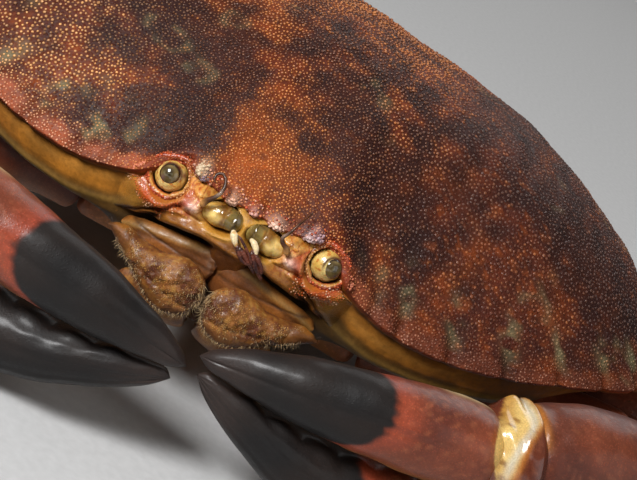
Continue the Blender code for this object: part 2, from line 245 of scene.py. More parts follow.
def raised(shader, *heights):
    # heights are (value, distance in mm, strength), laid over one another
    normal = None
    for value, distance, strength in heights:
        sockets = {"Height": value, "Distance": distance * mm, "Strength": strength}
        if normal is not None:
            sockets["Normal"] = normal
        normal = put(shader.id_data, "Bump", sockets)["Normal"]
    feed(shader, "Normal", normal)


def shellMaterial(name, grain, mottle, roughness=0.42, coat=0.25, specular=0.5):
    # painted shell: its tint, mottled finely, with pores and small grains standing up
    made, tree, shader, place, tint = newMaterial(name, roughness, coat, 0.25, specular)
    fine, broad = noise(tree, place, 1.1, 6.0, 0.65), noise(tree, place, 0.16, 5.0, 0.6)
    dark = mixed(tree, tint["Color"], (0.42, 0.38, 0.38, 1), mottle)
    light = mixed(tree, tint["Color"], (1.35, 1.2, 1.0, 1), mottle)
    patchy = mixed(tree, dark, light, ramp(tree, broad, (0.36, 0.0), (0.62, 1.0)), "MIX")
    spotted = mixed(tree, patchy, ramp(tree, fine, (0.3, 0.35), (0.7, 1.0)), 0.55)
    grains = put(tree, "TexVoronoi", {"Vector": place, "Scale": grain, "Randomness": 0.9})["Distance"]
    heads = mixed(tree, (0, 0, 0, 1), ramp(tree, grains, (0.0, 1.0), (0.5, 0.0)), tint["Alpha"], "MIX")
    feed(shader, "Base Color", mixed(tree, spotted, (1.35, 1.2, 1.05, 1), heads))
    feed(shader, "Roughness", ramp(tree, fine, (0.3, roughness - 0.12), (0.7, roughness + 0.16)))
    raised(shader, (heads, 0.18, 0.8), (fine, 0.12, 0.6))
    return made


def fleshMaterial(name, roughness=0.3, coat=0.5, grain=2.2, relief=0.08):
    # smooth horny skin, wet and a little uneven
    made, tree, shader, place, tint = newMaterial(name, roughness, coat, 0.12, 0.35)
    fine, broad = noise(tree, place, grain, 5.0, 0.6), noise(tree, place, 0.45, 4.0)
    shaded = mixed(tree, tint["Color"], ramp(tree, fine, (0.32, 0.55), (0.62, 1.0)), 0.7)
    warmth = ramp(tree, broad, (0.3, (0.8, 0.7, 0.62)), (0.7, (1, 1, 1)))
    feed(shader, "Base Color", mixed(tree, shaded, warmth, 0.6))
    soften(shader, 0.12, (1.0, 0.45, 0.2), 0.8)
    raised(shader, (broad, 0.3, 0.4), (fine, relief, 0.7))
    return made


def hornMaterial(name, roughness, grain, relief):
    # smooth dyed horn with fine pits and dots, duller where it is nearly black
    made, tree, shader, place, tint = newMaterial(name, roughness, 0.16, 0.22, 0.28)
    fine, broad = noise(tree, place, 1.6, 6.0, 0.7), noise(tree, place, 0.2, 5.0)
    dots = put(tree, "TexVoronoi", {"Vector": place, "Scale": grain})["Distance"]
    spots = ramp(tree, dots, (0.05, 1.0), (0.42, 0.0))
    clouded = mixed(tree, tint["Color"], ramp(tree, broad, (0.3, 0.62), (0.7, 1.0)), 0.7)
    pitted = mixed(tree, clouded, ramp(tree, fine, (0.3, 0.55), (0.65, 1.0)), 0.5)
    feed(shader, "Base Color", mixed(tree, pitted, (1.5, 1.32, 1.2, 1), spots))
    gloss = ramp(tree, fine, (0.3, roughness - 0.08), (0.7, roughness + 0.12))
    dull = ramp(tree, tint["Color"], (0.008, 0.22), (0.06, 0.0))
    feed(shader, "Roughness", mixed(tree, gloss, dull, 1.0, "ADD"))
    raised(shader, (broad, 0.5, 0.3), (spots, relief, 0.6), (fine, 0.06, 0.6))
    return made


# the shell

shell = {
    "around": 640,
    "rings": 152,
    "upperShare": 0.62,  # share of the rings that lie on the upper side
    "halfWidth": 100.0,
    "frontDepth": 60.0,
    "rearDepth": 66.0,
    "rearClip": 62.0,
    "rearPowers": (1.6, 14.0),  # how square the rear is, and how sharply its straight edge cuts it
    "bunching": 1.7,  # how much closer the rings lie near the edge
    "crown": 78.0,
    "belly": 20.0,
    "edge": [(0, 47.2), (8, 47.1), (12, 48.6), (16, 48.0), (19, 45.4), (22, 42), (28, 39.2), (34, 37.4)]
    + [(43.5, 37), (52.8, 38.5), (61, 41), (68.5, 42.5), (90, 45), (120, 44), (150, 40), (180, 38)],
    "notches": [22, 28, 34, 43.5, 52.8, 61, 68.5, 75, 80.5, 85.5, 90],  # degrees from the front
    # from the middle, how far they stand out, width, height
    "teeth": [(0.0, 1.3, 1.3, 0.4), (4.9, 1.6, 1.7, 0.4), (12.4, 1.2, 1.8, 0.6), (17.5, -1.8, 2.8, 0.0)]
    + [(22.6, 1.3, 1.6, 0.5)],
    # x, y, half width, half length, rise
    "swellings": [(19, 34, 15, 15, 1.0), (0, 52, 11, 20, 0.9), (0, 86, 14, 12, 1.1), (0, 108, 16, 6, 0.7)]
    + [(52, 76, 24, 24, 1.3), (50, 36, 16, 13, 0.8), (78, 50, 12, 14, 0.6), (24, 62, 7, 12, -0.7)]
    + [(14, 74, 6, 8, -0.6), (34, 22, 10, 5, -0.5)],
    # x, y, radius, strength of the dark purple-brown patches: partly the shell's own marks and partly painted
    # shadows
    "patchesAndShadows": [(18, 14, 10, 0.9), (34, 26, 13, 0.8), (-20, 16, 8, 0.5), (-48, 34, 16, 0.7)]
    + [(62, 44, 18, 0.75), (40, 56, 15, 0.6), (78, 38, 16, 0.9), (9, 15, 8, 0.9), (-30, 24, 13, 0.9)]
    + [(-20, 22, 9, 0.6)]
    + [(-26, 9, 10, 0.95), (-17, 9, 7, 0.8), (24, 12, 8, 0.7), (4, 24, 9, 0.7), (8, 36, 15, 0.7)]
    + [(-10, 44, 12, 0.6), (0, 92, 24, 0.5), (-62, 78, 22, 0.5), (58, 88, 20, 0.45)],
    # from the edge down to the belly: how far out, and how much of the way down
    "underShare": [0, 0.05, 0.10, 0.26, 0.48, 0.68, 0.86, 1],
    "faceUnder": ([1, 0.975, 0.95, 0.93, 0.92, 0.90, 0.86, 0], [0, 0.05, 0.12, 0.32, 0.55, 0.80, 1, 1])
    + (0.03, 0.03),
    "cheekUnder": ([1, 0.986, 0.966, 0.945, 0.915, 0.76, 0.50, 0], [0, 0.05, 0.08, 0.34, 0.54, 0.72, 0.96, 1])
    + (0.02, 0.02),
    "sideUnder": ([1, 0.992, 0.976, 0.90, 0.77, 0.60, 0.42, 0], [0, 0.07, 0.10, 0.25, 0.42, 0.62, 0.96, 1])
    + (0.02, 0.03),
}
segmentTurn = smoothCurve([0, 0.30, 0.75, 1], [0, 26, 92, 180], 0.04)
edgeHeight = rowCurve(shell["edge"], 3.0)
undersides = []
for key in ("faceUnder", "cheekUnder", "sideUnder"):
    reaches, drops, reachBlur, dropBlur = shell[key]
    reachCurve = smoothCurve(shell["underShare"], reaches, reachBlur)
    undersides.append((reachCurve, smoothCurve(shell["underShare"], drops, dropBlur)))


def outlineRadius(turn):
    across, ahead = np.abs(np.sin(turn)) / shell["halfWidth"], np.cos(turn)
    frontArc = 1 / np.hypot(across, ahead / shell["frontDepth"])
    behind = np.maximum(-ahead, 1e-6)
    square, sharp = shell["rearPowers"]
    rearArc = (across**square + (behind / shell["rearDepth"]) ** square) ** (-1 / square)
    rearArc = (rearArc**-sharp + (shell["rearClip"] / behind) ** -sharp) ** (-1 / sharp)
    return np.where(ahead >= 0, frontArc, rearArc)


def edgeDistance(turn, share):
    return outlineRadius(turn) * (1 - np.clip(share, 0, 1)) ** shell["bunching"]


def nearestNotch(degrees, radius):
    # distance along the edge, in mm, to the nearest notch between two lobes, and its depth
    away = np.min([np.abs(degrees - n) for n in shell["notches"]], axis=0) * math.pi / 180 * radius
    depth = step(degrees, 20, 34) * (1 - step(degrees, 91, 93))
    return away, depth


def shellSurface(turn, share):
    # turn is signed, in radians from the front; share runs 0 to 1 over the top and 1 to 2 underneath
    degrees = np.abs(turn) * 180 / math.pi
    radius = outlineRadius(turn)
    edge = edgeHeight(degrees)
    away, notched = nearestNotch(degrees, radius)
    alongFront = np.abs(radius * np.sin(turn))
    offset = notched * (0.35 - 1.1 * hill(away, 1.3))
    teeth, lumps = np.zeros(len(turn)), np.zeros(len(turn))
    for x, reach, width, rise in shell["teeth"]:
        spread = hill(alongFront - x, width) * (degrees < 40)
        teeth += reach * spread
        lumps += rise * spread
    under = np.clip(share - 1, 0, 1)
    inside = 1 - (1 - np.clip(share, 0, 1)) ** shell["bunching"]
    fade = step(inside * radius, radius - 5, radius)
    fadeTeeth = step(inside * radius, radius - 2.0, radius - 0.2)
    reach = radius * inside + offset * fade + teeth * fadeTeeth
    height = edge + (shell["crown"] - edge) * np.maximum(1 - inside**2.6, 0) ** 0.95
    fromEdge = radius * (1 - inside)
    height -= notched * 0.25 * hill(away, 1.6) * hill(fromEdge - 0.5, 2.4)
    height += notched * 0.45 * hill(fromEdge - 1.6, 1.5) * (1 - hill(away, 2.4))
    height += lumps * hill(fromEdge - 1.0, 0.95)
    height += 0.22 * waves(columns(radius * inside * turn, radius * inside, 0 * turn), 5, 8) * (1 - fade)
    rear = step(degrees, 96, 120)
    height += rear * (1.0 * hill(fromEdge - 1.2, 1.0) - 0.8 * hill(fromEdge - 3.8, 1.3)) * (share <= 1)
    face = 1 - step(degrees, 18, 34)
    cheek = (1 - face) * (1 - step(degrees, 58, 78))
    parts = (face, cheek, 1 - face - cheek)
    reachUnder = sum(part * curve(under) for part, (curve, _) in zip(parts, undersides))
    dropUnder = sum(part * curve(under) for part, (_, curve) in zip(parts, undersides))
    isUnder = share > 1
    bent = (offset + teeth) * (1 - step(under, 0.02, 0.16))
    ridge = 0.7 * cheek * hill((edge - shell["belly"]) * dropUnder - 8.4, 1.0)
    reach = np.where(isUnder, radius * reachUnder + bent + ridge, reach)
    lower = edge + (shell["belly"] - edge) * dropUnder + 0.3 * lumps * (1 - under) ** 30
    height = np.where(isUnder, lower, height)
    x, y = reach * np.sin(turn), shell["frontDepth"] - reach * np.cos(turn)
    for cx, cy, wide, long, rise in shell["swellings"]:
        spread = hill((np.abs(x) - cx) / wide, 1) * hill((y - cy) / long, 1)
        height += rise * spread * (1 - fade) * ~isUnder
    return columns(x, y, height)


knobs = {
    "clusters": [  # x, behind the edge, half width, half depth, how many, colour
        (0.1, -0.3, 0.8, 0.5, 12, "d8a49c"),
        (5.0, -0.4, 1.5, 0.8, 30, "f0cfc0"),
        (-4.6, -0.4, 1.2, 0.8, 24, "e6bca6"),
        (11.8, -0.4, 1.3, 0.8, 26, "dcc6cc"),
        (13.4, 0.1, 1.0, 0.8, 16, "b096a4"),
        (-11.5, -0.5, 0.8, 0.8, 16, "98889a"),
        (-12.6, 0.3, 1.2, 1.2, 32, "e0caa8"),
        (22.6, 0.6, 1.0, 0.5, 10, "c9775a"),
        (-22.6, 0.6, 1.0, 0.5, 10, "c9775a"),
    ],
    "painted": 7,  # how many of the clusters have a patch of their colour under them
    "reach": 14.5,  # how far from the middle the small ones go
    "step": 0.26,
    "shades": ["b84a20", "c96a34", "d9a08a", "8f3a22", "a84a28"],
}


def shellGround(points):
    # the ground colour of the shell at those points
    x, y = points[:, 0], points[:, 1]
    wander, fine = waves(points, 14, 3), waves(points, 4.5, 4)
    dark = sum(s * hill(np.hypot(x - cx, y - cy) / r + 0.25 * fine, 1) for cx, cy, r, s in shell["patchesAndShadows"])
    dark = np.clip(dark, 0, 1)
    flecks = waves(points, 1.4, 6) * waves(points, 2.6, 7)
    return layers(
        blend("3c170d", "6c2c10", 0.5 + 0.5 * wander + 0.3 * fine),
        # painted shade: the ground is darkened on the crab's left, where the light falls off
        ("3a190d", 0.55 * step(x, 18, 44)),
        ("92420f", 0.6 * hill(waves(points, 20, 5) - 0.7, 0.5)),
        ("9c4c14", 0.8 * mound(x, y, (-3, 7), (11, 8))),
        # the dark patches, partly the shell's own marks and partly painted shadow
        ("26100d", 0.88 * dark),
        ("a3521f", (0.35 - 0.28 * dark) * step(flecks, 0.1, 0.7)),
        ("351a18", 0.35 * step(-flecks, 0.1, 0.7)),
    )


def cheekColours(points):
    # under the shell's edge: gold, then olive with a painted highlight along its ridge and painted shade below
    # it, then the pale belly
    degrees = np.degrees(np.arctan2(np.abs(points[:, 0]), shell["frontDepth"] - points[:, 1]))
    drop = edgeHeight(degrees) - points[:, 2]
    wander = waves(points, 12, 21) + 0.3 * waves(points, 2.0, 22)
    return layers(
        blend("b3762a", "84501e", step(degrees, 26, 62) + 0.3 * wander),
        ("c98f42", 0.5 * hill(drop - 3.4 - 0.5 * wander, 1.1) * (1 - step(degrees, 40, 60))),
        ("54401f", 0.85 * step(drop + 0.4 * wander, 5.4, 7.2)),
        # painted highlight along the ridge, then painted shade below it
        ("8f7038", 0.6 * hill(drop - 8.4, 0.7) * (1 - step(degrees, 50, 70))),
        ("3f2f1c", 0.7 * step(drop, 9.2, 11.5)),
        ("b08c58", step(drop, 14.5, 19)),
        ("8e3e20", 1 - step(drop, 0.5, 1.3)),
        ("431f10", 0.75 * hill(drop - 1.35, 0.3)),
    )


def shellColours(turn, share, points):
    x = points[:, 0]
    degrees = np.abs(turn) * 180 / math.pi
    away, notched = nearestNotch(degrees, outlineRadius(turn))
    fromEdge = edgeDistance(turn, share)
    fine = waves(points, 2.2, 9)
    lobed = 1 - step(degrees, 92, 104)
    behindRim = hill(fromEdge - 5.0, 2.4) * lobed * step(degrees, 24, 34)
    rim = (1 - step(fromEdge - 0.4 * fine, 1.0, 2.2)) * (1 - notched * 0.7 * hill(away, 2.2))
    rim = rim * lobed * step(degrees, 17, 24)
    frontRim = hill(fromEdge, 1.1 + 0.3 * fine) * (1 - step(degrees, 17, 24))
    smudge = step(waves(points, 3.2, 12) + 0.4 * fine, -0.5, 0.6)
    stain = notched * hill(away, 1.6) * hill(fromEdge - 4.6, 2.6) * smudge
    stain = stain + 0.35 * hill(waves(points, 9, 13) - 1.25, 0.2) * smudge
    patches = [
        (paint(tone) * 0.62, 0.85 * hill(np.hypot((x - cx) / wide, (fromEdge - max(off, 0)) / deep) / 1.2, 1))
        for cx, off, wide, deep, _, tone in knobs["clusters"][: knobs["painted"]]
    ]
    upper = layers(
        shellGround(points),
        ("35150f", 0.7 * behindRim * step(fine, -1.2, 0.6)),
        (blend("a05436", "643322", step(x, 12, 40)), 0.85 * rim),
        ("76301a", 0.8 * frontRim),
        ("7e7c5c", 0.65 * np.clip(stain, 0, 1)),
        *patches,
        ("8a3214", 0.7 * hill(np.abs(x) - 17.5, 4.5) * hill(fromEdge, 1.7)),
    )
    return np.where((share > 1)[:, None], cheekColours(points), upper)


def shellPlace(share, angle):
    turn = np.sign(angle) * segmentTurn(np.abs(angle) / math.pi) * math.pi / 180
    upper = shell["upperShare"]
    return turn, np.where(share <= upper, share / upper, 1 + (share - upper) / (1 - upper))


def buildShell():
    piece, points, share, angle = addBall(
        "shell", shell["around"], shell["rings"], lambda share, angle: shellSurface(*shellPlace(share, angle))
    )
    turn, share = shellPlace(share, angle)
    shades = shellColours(turn, share, points)
    finishPiece(piece, points, shades, shellSkin, "carapace", grainy=1 - step(share, 1.0, 1.03))


shellSkin = shellMaterial("shellSkin", 1.7, 0.45, 0.55, 0.0, 0.2)
buildShell()
print("shell built")


# grains on the shell


def takePattern(cut=False):
    # reads the active object as a pattern of triangles for scattering, and removes it
    bpy.ops.object.mode_set(mode="EDIT")
    bpy.ops.mesh.select_all(action="SELECT")
    if cut:
        bpy.ops.mesh.bisect(plane_co=(0, 0, 0.02), plane_no=(0, 0, 1), clear_inner=True, use_fill=True)
        bpy.ops.mesh.select_all(action="SELECT")
    bpy.ops.mesh.quads_convert_to_tris()
    bpy.ops.object.mode_set(mode="OBJECT")
    piece = bpy.context.object
    points = readPoints(piece)
    faces = [tuple(face.vertices) for face in piece.data.polygons]
    bpy.data.objects.remove(piece)
    return points, faces


def domePattern(around, rings):
    bpy.ops.mesh.primitive_uv_sphere_add(segments=around, ring_count=rings)
    return takePattern(cut=True)


def conePattern():
    bpy.ops.mesh.primitive_cone_add(vertices=4, radius1=1, radius2=0, depth=1, location=(0, 0, 0.5))
    bpy.ops.object.transform_apply(location=True)
    return takePattern()


def unwrap(mesh, places, points):
    # each copy gets a small patch of the map, at its root's place on the unwrapped skin
    layer = mesh.uv_layers.new(name="OFBake")
    patch = points[:, :2] / max(np.abs(points[:, :2]).max(), 1e-9) * 0.0012
    spots = (places[:, None, :] + patch[None] + points[None, :, 2:] * 0.0003).reshape(-1, 2)
    corners = np.empty(len(mesh.loops), int)
    mesh.loops.foreach_get("vertex_index", corners)
    layer.data.foreach_set("uv", spots[corners].ravel())


def scatter(name, pattern, skin, slot, roots, normals, sizes, heights, shades, places, feet=None, side=1):
    # copies of a pattern that stands on z = 0, one on each root, joined in one mesh
    points, faces = pattern
    count, corners = len(roots), len(points)
    normals = normals / np.linalg.norm(normals, axis=1)[:, None]
    other = np.where(np.abs(normals[:, 2:]) < 0.9, [[0.0, 0, 1]], [[1.0, 0, 0]])
    first = np.cross(other, normals)
    first /= np.linalg.norm(first, axis=1)[:, None]
    second = np.cross(normals, first)
    flat = points[None, :, :2] * sizes[:, None, None]
    spots = (
        roots[:, None, :]
        + flat[:, :, :1] * first[:, None, :]
        + flat[:, :, 1:] * second[:, None, :]
        + points[None, :, 2:] * heights[:, None, None] * normals[:, None, :]
    )
    allFaces = np.array(faces)[None] + (np.arange(count) * corners)[:, None, None]
    mesh = bpy.data.meshes.new(name)
    mesh.vertices.add(count * corners)
    mesh.loops.add(allFaces.size)
    mesh.polygons.add(allFaces.size // 3)
    mesh.loops.foreach_set("vertex_index", allFaces.ravel())
    mesh.polygons.foreach_set("loop_start", np.arange(0, allFaces.size, 3))
    mesh.update(calc_edges=True)
    piece = bpy.data.objects.new(name, mesh)
    bpy.context.collection.objects.link(piece)
    unwrap(mesh, places, points)
    shades = np.repeat(shades, corners, axis=0)
    if feet is not None:
        rise = np.tile(step(points[:, 2], -0.15, 0.5), count)
        shades = blend(np.repeat(feet, corners, axis=0), shades, rise)
    finishPiece(piece, spots.reshape(-1, 3), shades, skin, side=side)


grains = {
    "tries": 260000,
    "gap": 0.80,  # least distance between two grains
    "frontGap": 0.51,
    "rearGap": 0.90,
    "radiusShare": 0.47,  # of the gap
    "heightShare": 0.80,  # of the radius
    "flatter": 0.35,  # taken off the height share on the crab's left
    "sink": 0.05,
    "footPaintedShade": 0.8,  # of the skin's colour round the foot of a grain, as painted shade
}


def spreadOut(spots, gaps, seed):
    # keeps places, in a random order, that lie their gap away from every place kept before
    order = np.random.default_rng(seed).permutation(len(spots))
    cells = np.floor(spots / gaps.max()).astype(int)
    around = [(i, j, k) for i in (-1, 0, 1) for j in (-1, 0, 1) for k in (-1, 0, 1)]
    kept, taken = [], {}
    rows, keys, limits = spots.tolist(), cells.tolist(), (gaps**2).tolist()
    for index in order.tolist():
        x, y, z = rows[index]
        i, j, k = keys[index]
        limit = limits[index]
        free = True
        for di, dj, dk in around:
            for other in taken.get((i + di, j + dj, k + dk), ()):
                ox, oy, oz = rows[other]
                if (x - ox) ** 2 + (y - oy) ** 2 + (z - oz) ** 2 < limit:
                    free = False
                    break
            if not free:
                break
        if free:
            taken.setdefault((i, j, k), []).append(index)
            kept.append(index)
    return np.array(kept)


def shellNormals(turn, share):
    nudge = 0.002
    a = shellSurface(turn + nudge, share) - shellSurface(turn - nudge, share)
    b = shellSurface(turn, np.minimum(share + nudge, 1)) - shellSurface(turn, share - nudge)
    normal = np.cross(a, b)
    normal = normal * np.sign(normal[:, 2:] + 1e-9)
    return normal / np.linalg.norm(normal, axis=1)[:, None]


def buildGrains():
    draw = np.random.default_rng(11)
    turn = draw.uniform(-math.pi, math.pi, grains["tries"])
    radius = outlineRadius(turn)
    turn = turn[draw.uniform(0, shell["halfWidth"], len(turn)) ** 2 < radius**2]
    inside = np.sqrt(draw.uniform(0, 0.9995, len(turn)))
    share = 1 - (1 - inside) ** (1 / shell["bunching"])
    spots = shellSurface(turn, share)
    fromEdge = outlineRadius(turn) * (1 - inside)
    nearFront = hill(np.hypot(spots[:, 0], spots[:, 1] - 4), 24) + 0.6 * hill((spots[:, 0] + 34) / 22, 1)
    fineShare = np.clip(nearFront + hill(fromEdge, 4) * step(92 - np.degrees(np.abs(turn)), 0, 10), 0, 1)
    gaps = grains["gap"] + (grains["frontGap"] - grains["gap"]) * fineShare
    gaps += (grains["rearGap"] - grains["gap"]) * step(spots[:, 1], 62, 96)
    kept = spreadOut(spots, gaps, 12)
    turn, share, spots, gaps = turn[kept], share[kept], spots[kept], gaps[kept]
    x, y = spots[:, 0], spots[:, 1]
    fromEdge = edgeDistance(turn, share)
    normals = shellNormals(turn, share)
    ground = shellColours(turn, share, spots)
    # painted light and shade on the grain tops: lighter where the light falls on the crab's right (sunny),
    # darker on the crab's left (right), and dimmer over the dark ground, which carries painted shadows too
    sunny = step(-x, 22, 50) * (1 - step(y, 50, 80))
    right = step(x, 14, 36)  # the crab's left
    patchy = 0.54 - 0.40 * right + 0.26 * sunny + (0.13 - 0.06 * right) * waves(spots, 7, 14)
    patchy += 0.12 * hill(np.hypot(x, y - 10), 14)
    patchy -= 0.08 * hill(fromEdge, 3.5) * step(-x, 15, 30)
    light = np.clip(patchy + (0.12 - 0.05 * right) * draw.normal(size=len(spots)), 0.05, 0.95)
    light *= 0.20 + 0.80 * step(ground[:, 0], 0.03, 0.13)
    pinkish = hill(fromEdge, 2.2) * step(np.degrees(np.abs(turn)), 22, 32)
    bright = blend(blend("d98c48", "eab070", sunny), "eeb08c", pinkish)
    tips = blend(ground * (1.7 - 0.3 * right)[:, None] + 0.006, bright, light)
    radius = grains["radiusShare"] * gaps * np.clip(1 + 0.16 * draw.normal(size=len(spots)), 0.6, 1.4)
    heights = radius * (grains["heightShare"] - grains["flatter"] * right)
    spots = spots - normals * grains["sink"]
    places = columns(np.sin(turn), np.cos(turn)) * share[:, None] * 0.48 + 0.5
    # the grains' feet are the ground darkened, as painted shade round each foot
    rows = (spots, normals, radius, heights, tips, places, ground * grains["footPaintedShade"])
    quarters = (spots[:, 0] > 0) * 2 + (spots[:, 1] > 48)
    for quarter, word in enumerate(("frontRight", "rearRight", "frontLeft", "rearLeft")):
        part = [row[quarters == quarter] for row in rows]
        scatter("shellGrains_" + word, dome, grainSkin, "shell", *part)
    print("shell grains", len(spots))


def buildKnobs():
    draw = np.random.default_rng(15)
    rows = []
    for x, off, wide, deep, count, tone in knobs["clusters"]:
        for _ in range(count):
            a, b = draw.normal(0, 0.5, 2)
            size = draw.uniform(0.28, 0.58) * math.exp(-0.5 * (a * a + b * b))
            share = draw.uniform(0, 0.5) * min(1, a * a + b * b)
            shade = paint(tone) * (1 - share) + paint("b85a30") * share
            rows.append((x + a * wide, max(off + b * deep, -1.4), size, size * draw.uniform(0.6, 0.9), *shade))
    for x in np.arange(-knobs["reach"], knobs["reach"], knobs["step"]):
        size = draw.uniform(0.18, 0.34)
        shade = paint(draw.choice(knobs["shades"]))
        rows.append((x + draw.uniform(-0.2, 0.2), draw.uniform(-1.0, 1.4), size, size * 0.8, *shade))
    rows = np.array(rows)
    x, off, size, high = rows[:, :4].T
    turn = np.arcsin(np.clip(x / shell["frontDepth"], -1, 1))
    share = 1 - (np.clip(off, 0, 9) / outlineRadius(turn)) ** (1 / shell["bunching"])
    share = np.where(off < 0, 1 - 0.035 * off, share)
    tilt = np.clip(0.6 + 0.6 * off, -0.5, 1.35)
    normals = columns(0.5 * np.sin(turn), -np.cos(tilt), np.sin(tilt))
    spots = shellSurface(turn, share) - normals * (0.1 * high)[:, None]
    feet = blend(rows[:, 4:], "8f3418", 0.75)
    places = columns(x / 70 + 0.5, off / 70 + 0.5)
    scatter("frontKnobs", knob, knobSkin, "shell", spots, normals, size, high, rows[:, 4:], places, feet)


def studs(name, piece, points, keep, gap, radius, tips, base, slot, places, side=1):
    # small grains on the points of a finished piece that are kept
    seed = 20
    normals = np.empty(len(points) * 3)
    piece.data.vertices.foreach_get("normal", normals)
    normals = normals.reshape(-1, 3) * (side, 1, 1)
    chosen = np.flatnonzero(keep)
    chosen = chosen[spreadOut(points[chosen], np.full(len(chosen), gap), seed)]
    sizes = radius * np.random.default_rng(seed + 1).uniform(0.75, 1.25, len(chosen))
    spots = points[chosen] - normals[chosen] * 0.3 * radius
    # painted shade round the foot of each grain
    feet = base[chosen] * grains["footPaintedShade"]
    rows = (spots, normals[chosen], sizes, sizes, tips[chosen], places[chosen], feet)
    scatter(name, dome, grainSkin, slot, *rows, side)


dome = domePattern(6, 4)
knob = domePattern(10, 8)
cone = conePattern()
hairSkin, _, hairShader, _, hairTint = newMaterial("hairSkin", 0.5, 0.1)
feed(hairShader, "Base Color", hairTint["Color"])
knobSkin = shellMaterial("knobSkin", 3.0, 0.5, 0.4, 0.25, 0.4)
buildKnobs()
grainSkin = shellMaterial("grainSkin", 3.0, 0.15, 0.36, 0.1, 0.45)
buildGrains()


# rounded pieces built round an axis, and limbs built from stations


def placing(start, end, up=(0, 0, 1)):
    # a matrix with its origin at start, X towards end and Z as near to up as it can be
    ahead = (Vector(end) - Vector(start)).normalized()
    aside = Vector(up).cross(ahead).normalized()
    turn = Matrix((ahead, aside, ahead.cross(aside))).transposed().to_4x4()
    return Matrix.Translation(Vector(start)) @ turn


def applied(matrix, points):
    turn = np.array(matrix)
    return points @ turn[:3, :3].T + turn[:3, 3]


def stationCurves(stations, blur):
    rows = np.array(stations, float)
    moved = np.linalg.norm(np.diff(rows[:, :3], axis=0), axis=1)
    grown = np.abs(np.diff(rows[:, 3:], axis=0)).max(axis=1)
    place = np.concatenate([[0], np.cumsum(np.hypot(moved, grown))])
    return [smoothCurve(place / place[-1], rows[:, k], blur) for k in range(rows.shape[1])]


def limbPoints(curves, share, angle, square, shape=None):
    # points round a limb: its section is an ellipse, or squarer below 1; shape adds height to the skin
    along, sideways, up, thick, high = [curve(share) for curve in curves]
    wide, tall = [np.sign(way) * np.abs(way) ** square for way in (np.cos(angle), np.sin(angle))]
    lift = shape(along, angle) * np.minimum(1, np.minimum(thick, high) / 1.5) if shape else 0.0
    return columns(along, sideways - (thick + lift) * wide, up + (high + lift) * tall)


def addLimb(name, around, rings, stations, matrix, square=1.0, blur=0.04, shape=None):
    # stations are (along, sideways, up, half thickness, half height)
    curves = stationCurves(stations, blur)
    piece, local, share, angle = addBall(
        name, around, rings, lambda share, angle: limbPoints(curves, share, angle, square, shape)
    )
    return piece, applied(matrix, local), local, share, angle


def addPath(name, around, rings, path, blur=0.05, shape=None):
    # a tube through points given as (x, y, z, half width, half height)
    curves = stationCurves(path, blur)

    def place(share, angle):
        spots = [np.clip(share + nudge, 0, 1) for nudge in (0, -0.01, 0.01)]
        middle, before, after = [columns(*[curve(spot) for curve in curves[:3]]) for spot in spots]
        ahead = after - before
        ahead /= np.linalg.norm(ahead, axis=1)[:, None] + 1e-9
        across = np.array([1.0, 0.0, 0.0]) - ahead * ahead[:, :1]
        across /= np.linalg.norm(across, axis=1)[:, None] + 1e-9
        thick, high = curves[3](share), curves[4](share)
        lift = shape(share, angle) * np.minimum(1, thick / 0.5) if shape else 0.0
        wide, tall = (thick + lift) * np.cos(angle), (high + lift) * np.sin(angle)
        return middle + across * wide[:, None] + np.cross(ahead, across) * tall[:, None]

    return addBall(name, around, rings, place)


# the face under the front of the shell

face = {
    "around": 440,
    "rings": 190,
    "halfWidth": 31.0,
    "frontShare": 0.80,  # share of the points that lie on the front
    "back": 16.0,
    "orbit": (17.6, 44.1),
    # places across the face, or up it for the profile, and their values
    "top": [(0, 47.5), (9, 48), (14, 48.2), (17, 47), (19, 45), (21, 43.2), (23, 41.1), (25, 40), (28, 38.7)]
    + [(31, 37.6)],
    "bottom": [(0, 17), (16, 17), (21, 22), (25, 28), (31, 31)],
    "profile": [(16, 9), (22, 7.5), (26, 5.5), (30, 2.5), (33, 1.0), (36, -0.6), (37.9, -1.8), (38.8, -2.4)]
    + [(40, -2.6), (41.2, -1.6), (43, -1.2), (45.5, -0.8), (46.4, 0.4), (47.4, 1.4)],
    "fall": [(0, 0), (10, 0.4), (15, 1.2), (20, 2.6), (25, 4.6), (28, 6.6), (31, 10.0)],
    "roof": [(0, 37.2), (5, 37.6), (7.5, 37.6), (11, 36.8), (14, 35.9), (18, 34.7), (21, 33.3), (24, 31.5)],
    # middle, half sizes, slope, how far back: bulbs, grooves and the slit beside the mouth
    "bumps": [((11.4, 42.56), (2.7, 1.5), 0.1, -2.1), ((11.2, 40.4), (3.6, 0.5), 0.0, 0.8)]
    + [((10.6, 45.6), (1.9, 1.5), 0.0, -1.3), ((17.4, 38.9), (3.6, 0.9), 0.0, -0.9)]
    + [((17.2, 35.4), (1.9, 0.7), 0.5, 2.2)],
}
faceTop, faceBottom, faceProfile = [
    rowCurve(face[key], blur) for key, blur in (("top", 0.6), ("bottom", 1.0), ("profile", 0.9))
]
faceFall, mouthRoof = rowCurve(face["fall"], 2.0), rowCurve(face["roof"], 0.8)


def mouthOpening(ax, z):
    # 1 inside the open mouth on each side of its middle
    inside = step(mouthRoof(ax) - z, 0.0, 0.9) * step(ax, 2.6, 6.4 + 0.3 * (38 - z))
    return inside * (1 - step(ax, 20.5, 24.5))


def cheekGroove(ax, z):
    # distance above the groove between the mouth's frame and the cheek, and where that groove runs
    return (z - (41.9 - 0.86 * (ax - 11.8))) * 0.76, step(ax, 12, 14) * (1 - step(ax, 24, 27))


def feelerPit(ax, z):
    # below 1 inside the pit the first feeler folds into
    return np.hypot((ax - 4.8) / 4.5, (z - 43.2) / 3.1)


def fromOrbit(ax, z):
    return np.hypot(ax - face["orbit"][0], z - face["orbit"][1])


def faceNet(x, z):
    # fine red lines between the pale cells beside the feelers
    return hill(np.abs(waves(upright(x, z), 0.8, 43)), 0.3), mound(np.abs(x), z, (12.2, 43.6), (3.6, 3.8))


